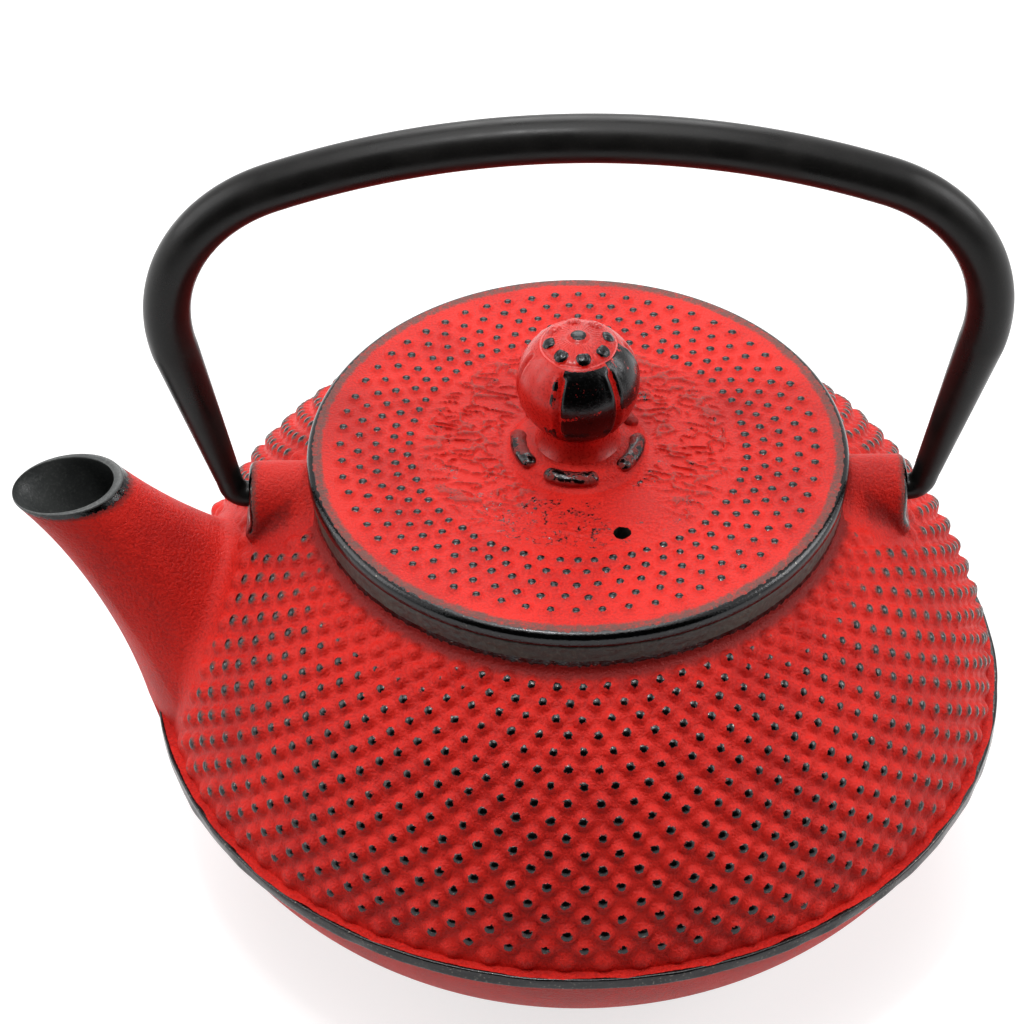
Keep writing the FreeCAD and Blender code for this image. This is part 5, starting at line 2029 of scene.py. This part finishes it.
@dataclass
class Studio:
    """Pale floor, soft light and the camera at the photograph's angle."""

    camera_place: tuple[float, float, float] = (-11.81, -470.02, 501.49)
    camera_way: tuple[float, float, float] = (0.0006, 0.73897, -0.67374)
    camera_roll: float = -0.606
    lens: float = 128.13
    sensor: float = 36.0
    floor_half: float = 4.0
    floor_grey: Colour = (0.44, 0.44, 0.44, 1.0)
    floor_glow: float = 0.72
    cloth_grey: Colour = (0.02, 0.02, 0.02, 1.0)
    ambient: float = 0.34
    card_width: float = 3.6
    card_height: float = 2.4
    card_place: float = -1.3
    cloth_start: float = -0.3
    cloth_height: float = 0.001
    aim: tuple[float, float, float] = (0.0, 0.0, 0.06)
    lamps: tuple[Lamp, ...] = (
        Lamp("top_light", (-0.1, 0.0, 1.5), 1.2, 14.2),
        Lamp("spark_light", (-0.15, -0.25, 1.35), 0.12, 3.4),
        Lamp("back_light", (0.0, 1.2, 0.9), 0.8, 8.5),
        Lamp("left_light", (-1.4, 0.1, 0.7), 1.0, 9.0),
        Lamp("right_light", (1.4, 0.1, 0.7), 0.8, 11.5),
    )

    def build_camera(self) -> None:
        """Make the camera and set it as the scene's."""
        data = bpy.data.cameras.new("camera")
        data.lens = self.lens
        data.sensor_width = self.sensor
        data.clip_end = 50.0
        camera = put_in_scene("camera", data)
        look = self.facing(Vector(self.camera_way))
        roll = Matrix.Rotation(math.radians(self.camera_roll), 4, "Z")
        camera.matrix_world = Matrix.Translation(Vector(self.camera_place) * MM) @ look @ roll
        bpy.context.scene.camera = camera

    def facing(self, way: Vector) -> Matrix:
        """The turn that points a camera or light along a direction, with its top up."""
        return way.to_track_quat("-Z", "Y").to_matrix().to_4x4()

    def build_light(self, lamp: Lamp) -> None:
        """Make a light that faces the pot.

        Args:
            lamp: The light's values.
        """
        data = bpy.data.lights.new(lamp.name, "AREA")
        data.shape = "SQUARE"
        data.size = lamp.size
        data.energy = lamp.power
        place = Vector(lamp.place)
        look = self.facing(Vector(self.aim) - place)
        put_in_scene(lamp.name, data).matrix_world = Matrix.Translation(place) @ look

    def build_sheet(
        self, name: str, corners: list[tuple[float, float, float]], coat: bpy.types.Material, in_view: bool
    ) -> None:
        """Make a four-cornered sheet of the stage.

        Args:
            name: The sheet's name.
            corners: Its corners in order.
            coat: Its finish.
            in_view: Whether the camera sees it and it casts a shadow.
        """
        mesh = bpy.data.meshes.new(name)
        mesh.from_pydata(corners, [], [(0, 1, 2, 3)])
        mesh.materials.append(coat)
        sheet = put_in_scene(name, mesh)
        sheet.visible_camera = in_view
        sheet.visible_shadow = in_view

    def seen(self, tree: bpy.types.NodeTree) -> Socket:
        """One where a ray comes from the camera, a reflection or through glass, and else zero.

        Args:
            tree: The node tree to add to.

        Returns:
            That share.
        """
        path = tree.nodes.new("ShaderNodeLightPath")
        total = path.outputs["Is Camera Ray"]
        for name in ("Is Glossy Ray", "Is Transmission Ray"):
            node = tree.nodes.new("ShaderNodeMath")
            node.operation = "MAXIMUM"
            tree.links.new(total, node.inputs[0])
            tree.links.new(path.outputs[name], node.inputs[1])
            total = node.outputs[0]
        return total

    def build_world(self) -> None:
        """Make white surroundings to look at, and a dimmer soft light from them on the object."""
        world = bpy.data.worlds.new("studio")
        bpy.context.scene.world = world
        world.use_nodes = True
        tree = world.node_tree
        light = tree.nodes["Background"]
        white = tree.nodes.new("ShaderNodeBackground")
        for background, strength in ((light, self.ambient), (white, 1.0)):
            background.inputs["Color"].default_value = (1.0, 1.0, 1.0, 1.0)
            background.inputs["Strength"].default_value = strength
        mix = tree.nodes.new("ShaderNodeMixShader")
        tree.links.new(self.seen(tree), mix.inputs[0])
        tree.links.new(light.outputs[0], mix.inputs[1])
        tree.links.new(white.outputs[0], mix.inputs[2])
        tree.links.new(mix.outputs[0], tree.nodes["World Output"].inputs["Surface"])

    def build_floor(self) -> None:
        """Make a pale floor that keeps the shadow and looks white where nothing shades it."""
        bench = NodeBench("pale_floor")
        grain = bench.bump(bench.noise(2.0), 0.01)
        bench.finish(self.floor_grey, 0.9, grain, Specular_IOR_Level=0.0)
        glow = bench.add("ShaderNodeEmission")
        share = bench.sum("MULTIPLY", self.seen(bench.tree), self.floor_glow)
        bench.feed(glow.inputs["Strength"], share)
        both = bench.add("ShaderNodeAddShader")
        bench.feed(both.inputs[0], bench.shader.outputs[0])
        bench.feed(both.inputs[1], glow.outputs[0])
        bench.feed(bench.tree.nodes["Material Output"].inputs["Surface"], both.outputs[0])
        side = self.floor_half
        corners = [(-side, -side, 0.0), (side, -side, 0.0), (side, side, 0.0), (-side, side, 0.0)]
        self.build_sheet("floor", corners, bench.material, True)

    def build_cards(self) -> None:
        """Make a dark card behind the camera and a dark cloth before the pot, both out of view."""
        half = self.card_width / 2
        y = self.card_place
        card = [(-half, y, 0.0), (-half, y, self.card_height), (half, y, self.card_height), (half, y, 0.0)]
        near, level = self.cloth_start, self.cloth_height
        cloth = [(-half, y, level), (half, y, level), (half, near, level), (-half, near, level)]
        bench = NodeBench("dark_cloth")
        weave = bench.noise(1.5)
        bench.finish(self.cloth_grey, 0.95, bench.bump(weave, 0.2), Specular_IOR_Level=0.0)
        for name, corners in (("dark_card", card), ("dark_floor_cloth", cloth)):
            self.build_sheet(name, corners, bench.material, False)

    def build(self) -> None:
        """Set up the studio."""
        self.build_camera()
        self.build_world()
        self.build_floor()
        self.build_cards()
        for lamp in self.lamps:
            self.build_light(lamp)
        bpy.context.scene.view_settings.view_transform = "Standard"


def main() -> None:
    """Build the teapot and its studio in order."""
    logging.basicConfig(level=logging.INFO, format="%(name)s %(message)s")
    finishes = Finishes()
    for assembly in (Pot, Lid, Strainer, Handle):
        assembly(finishes).build()
    Studio().build()


if __name__ == "__main__":
    main()
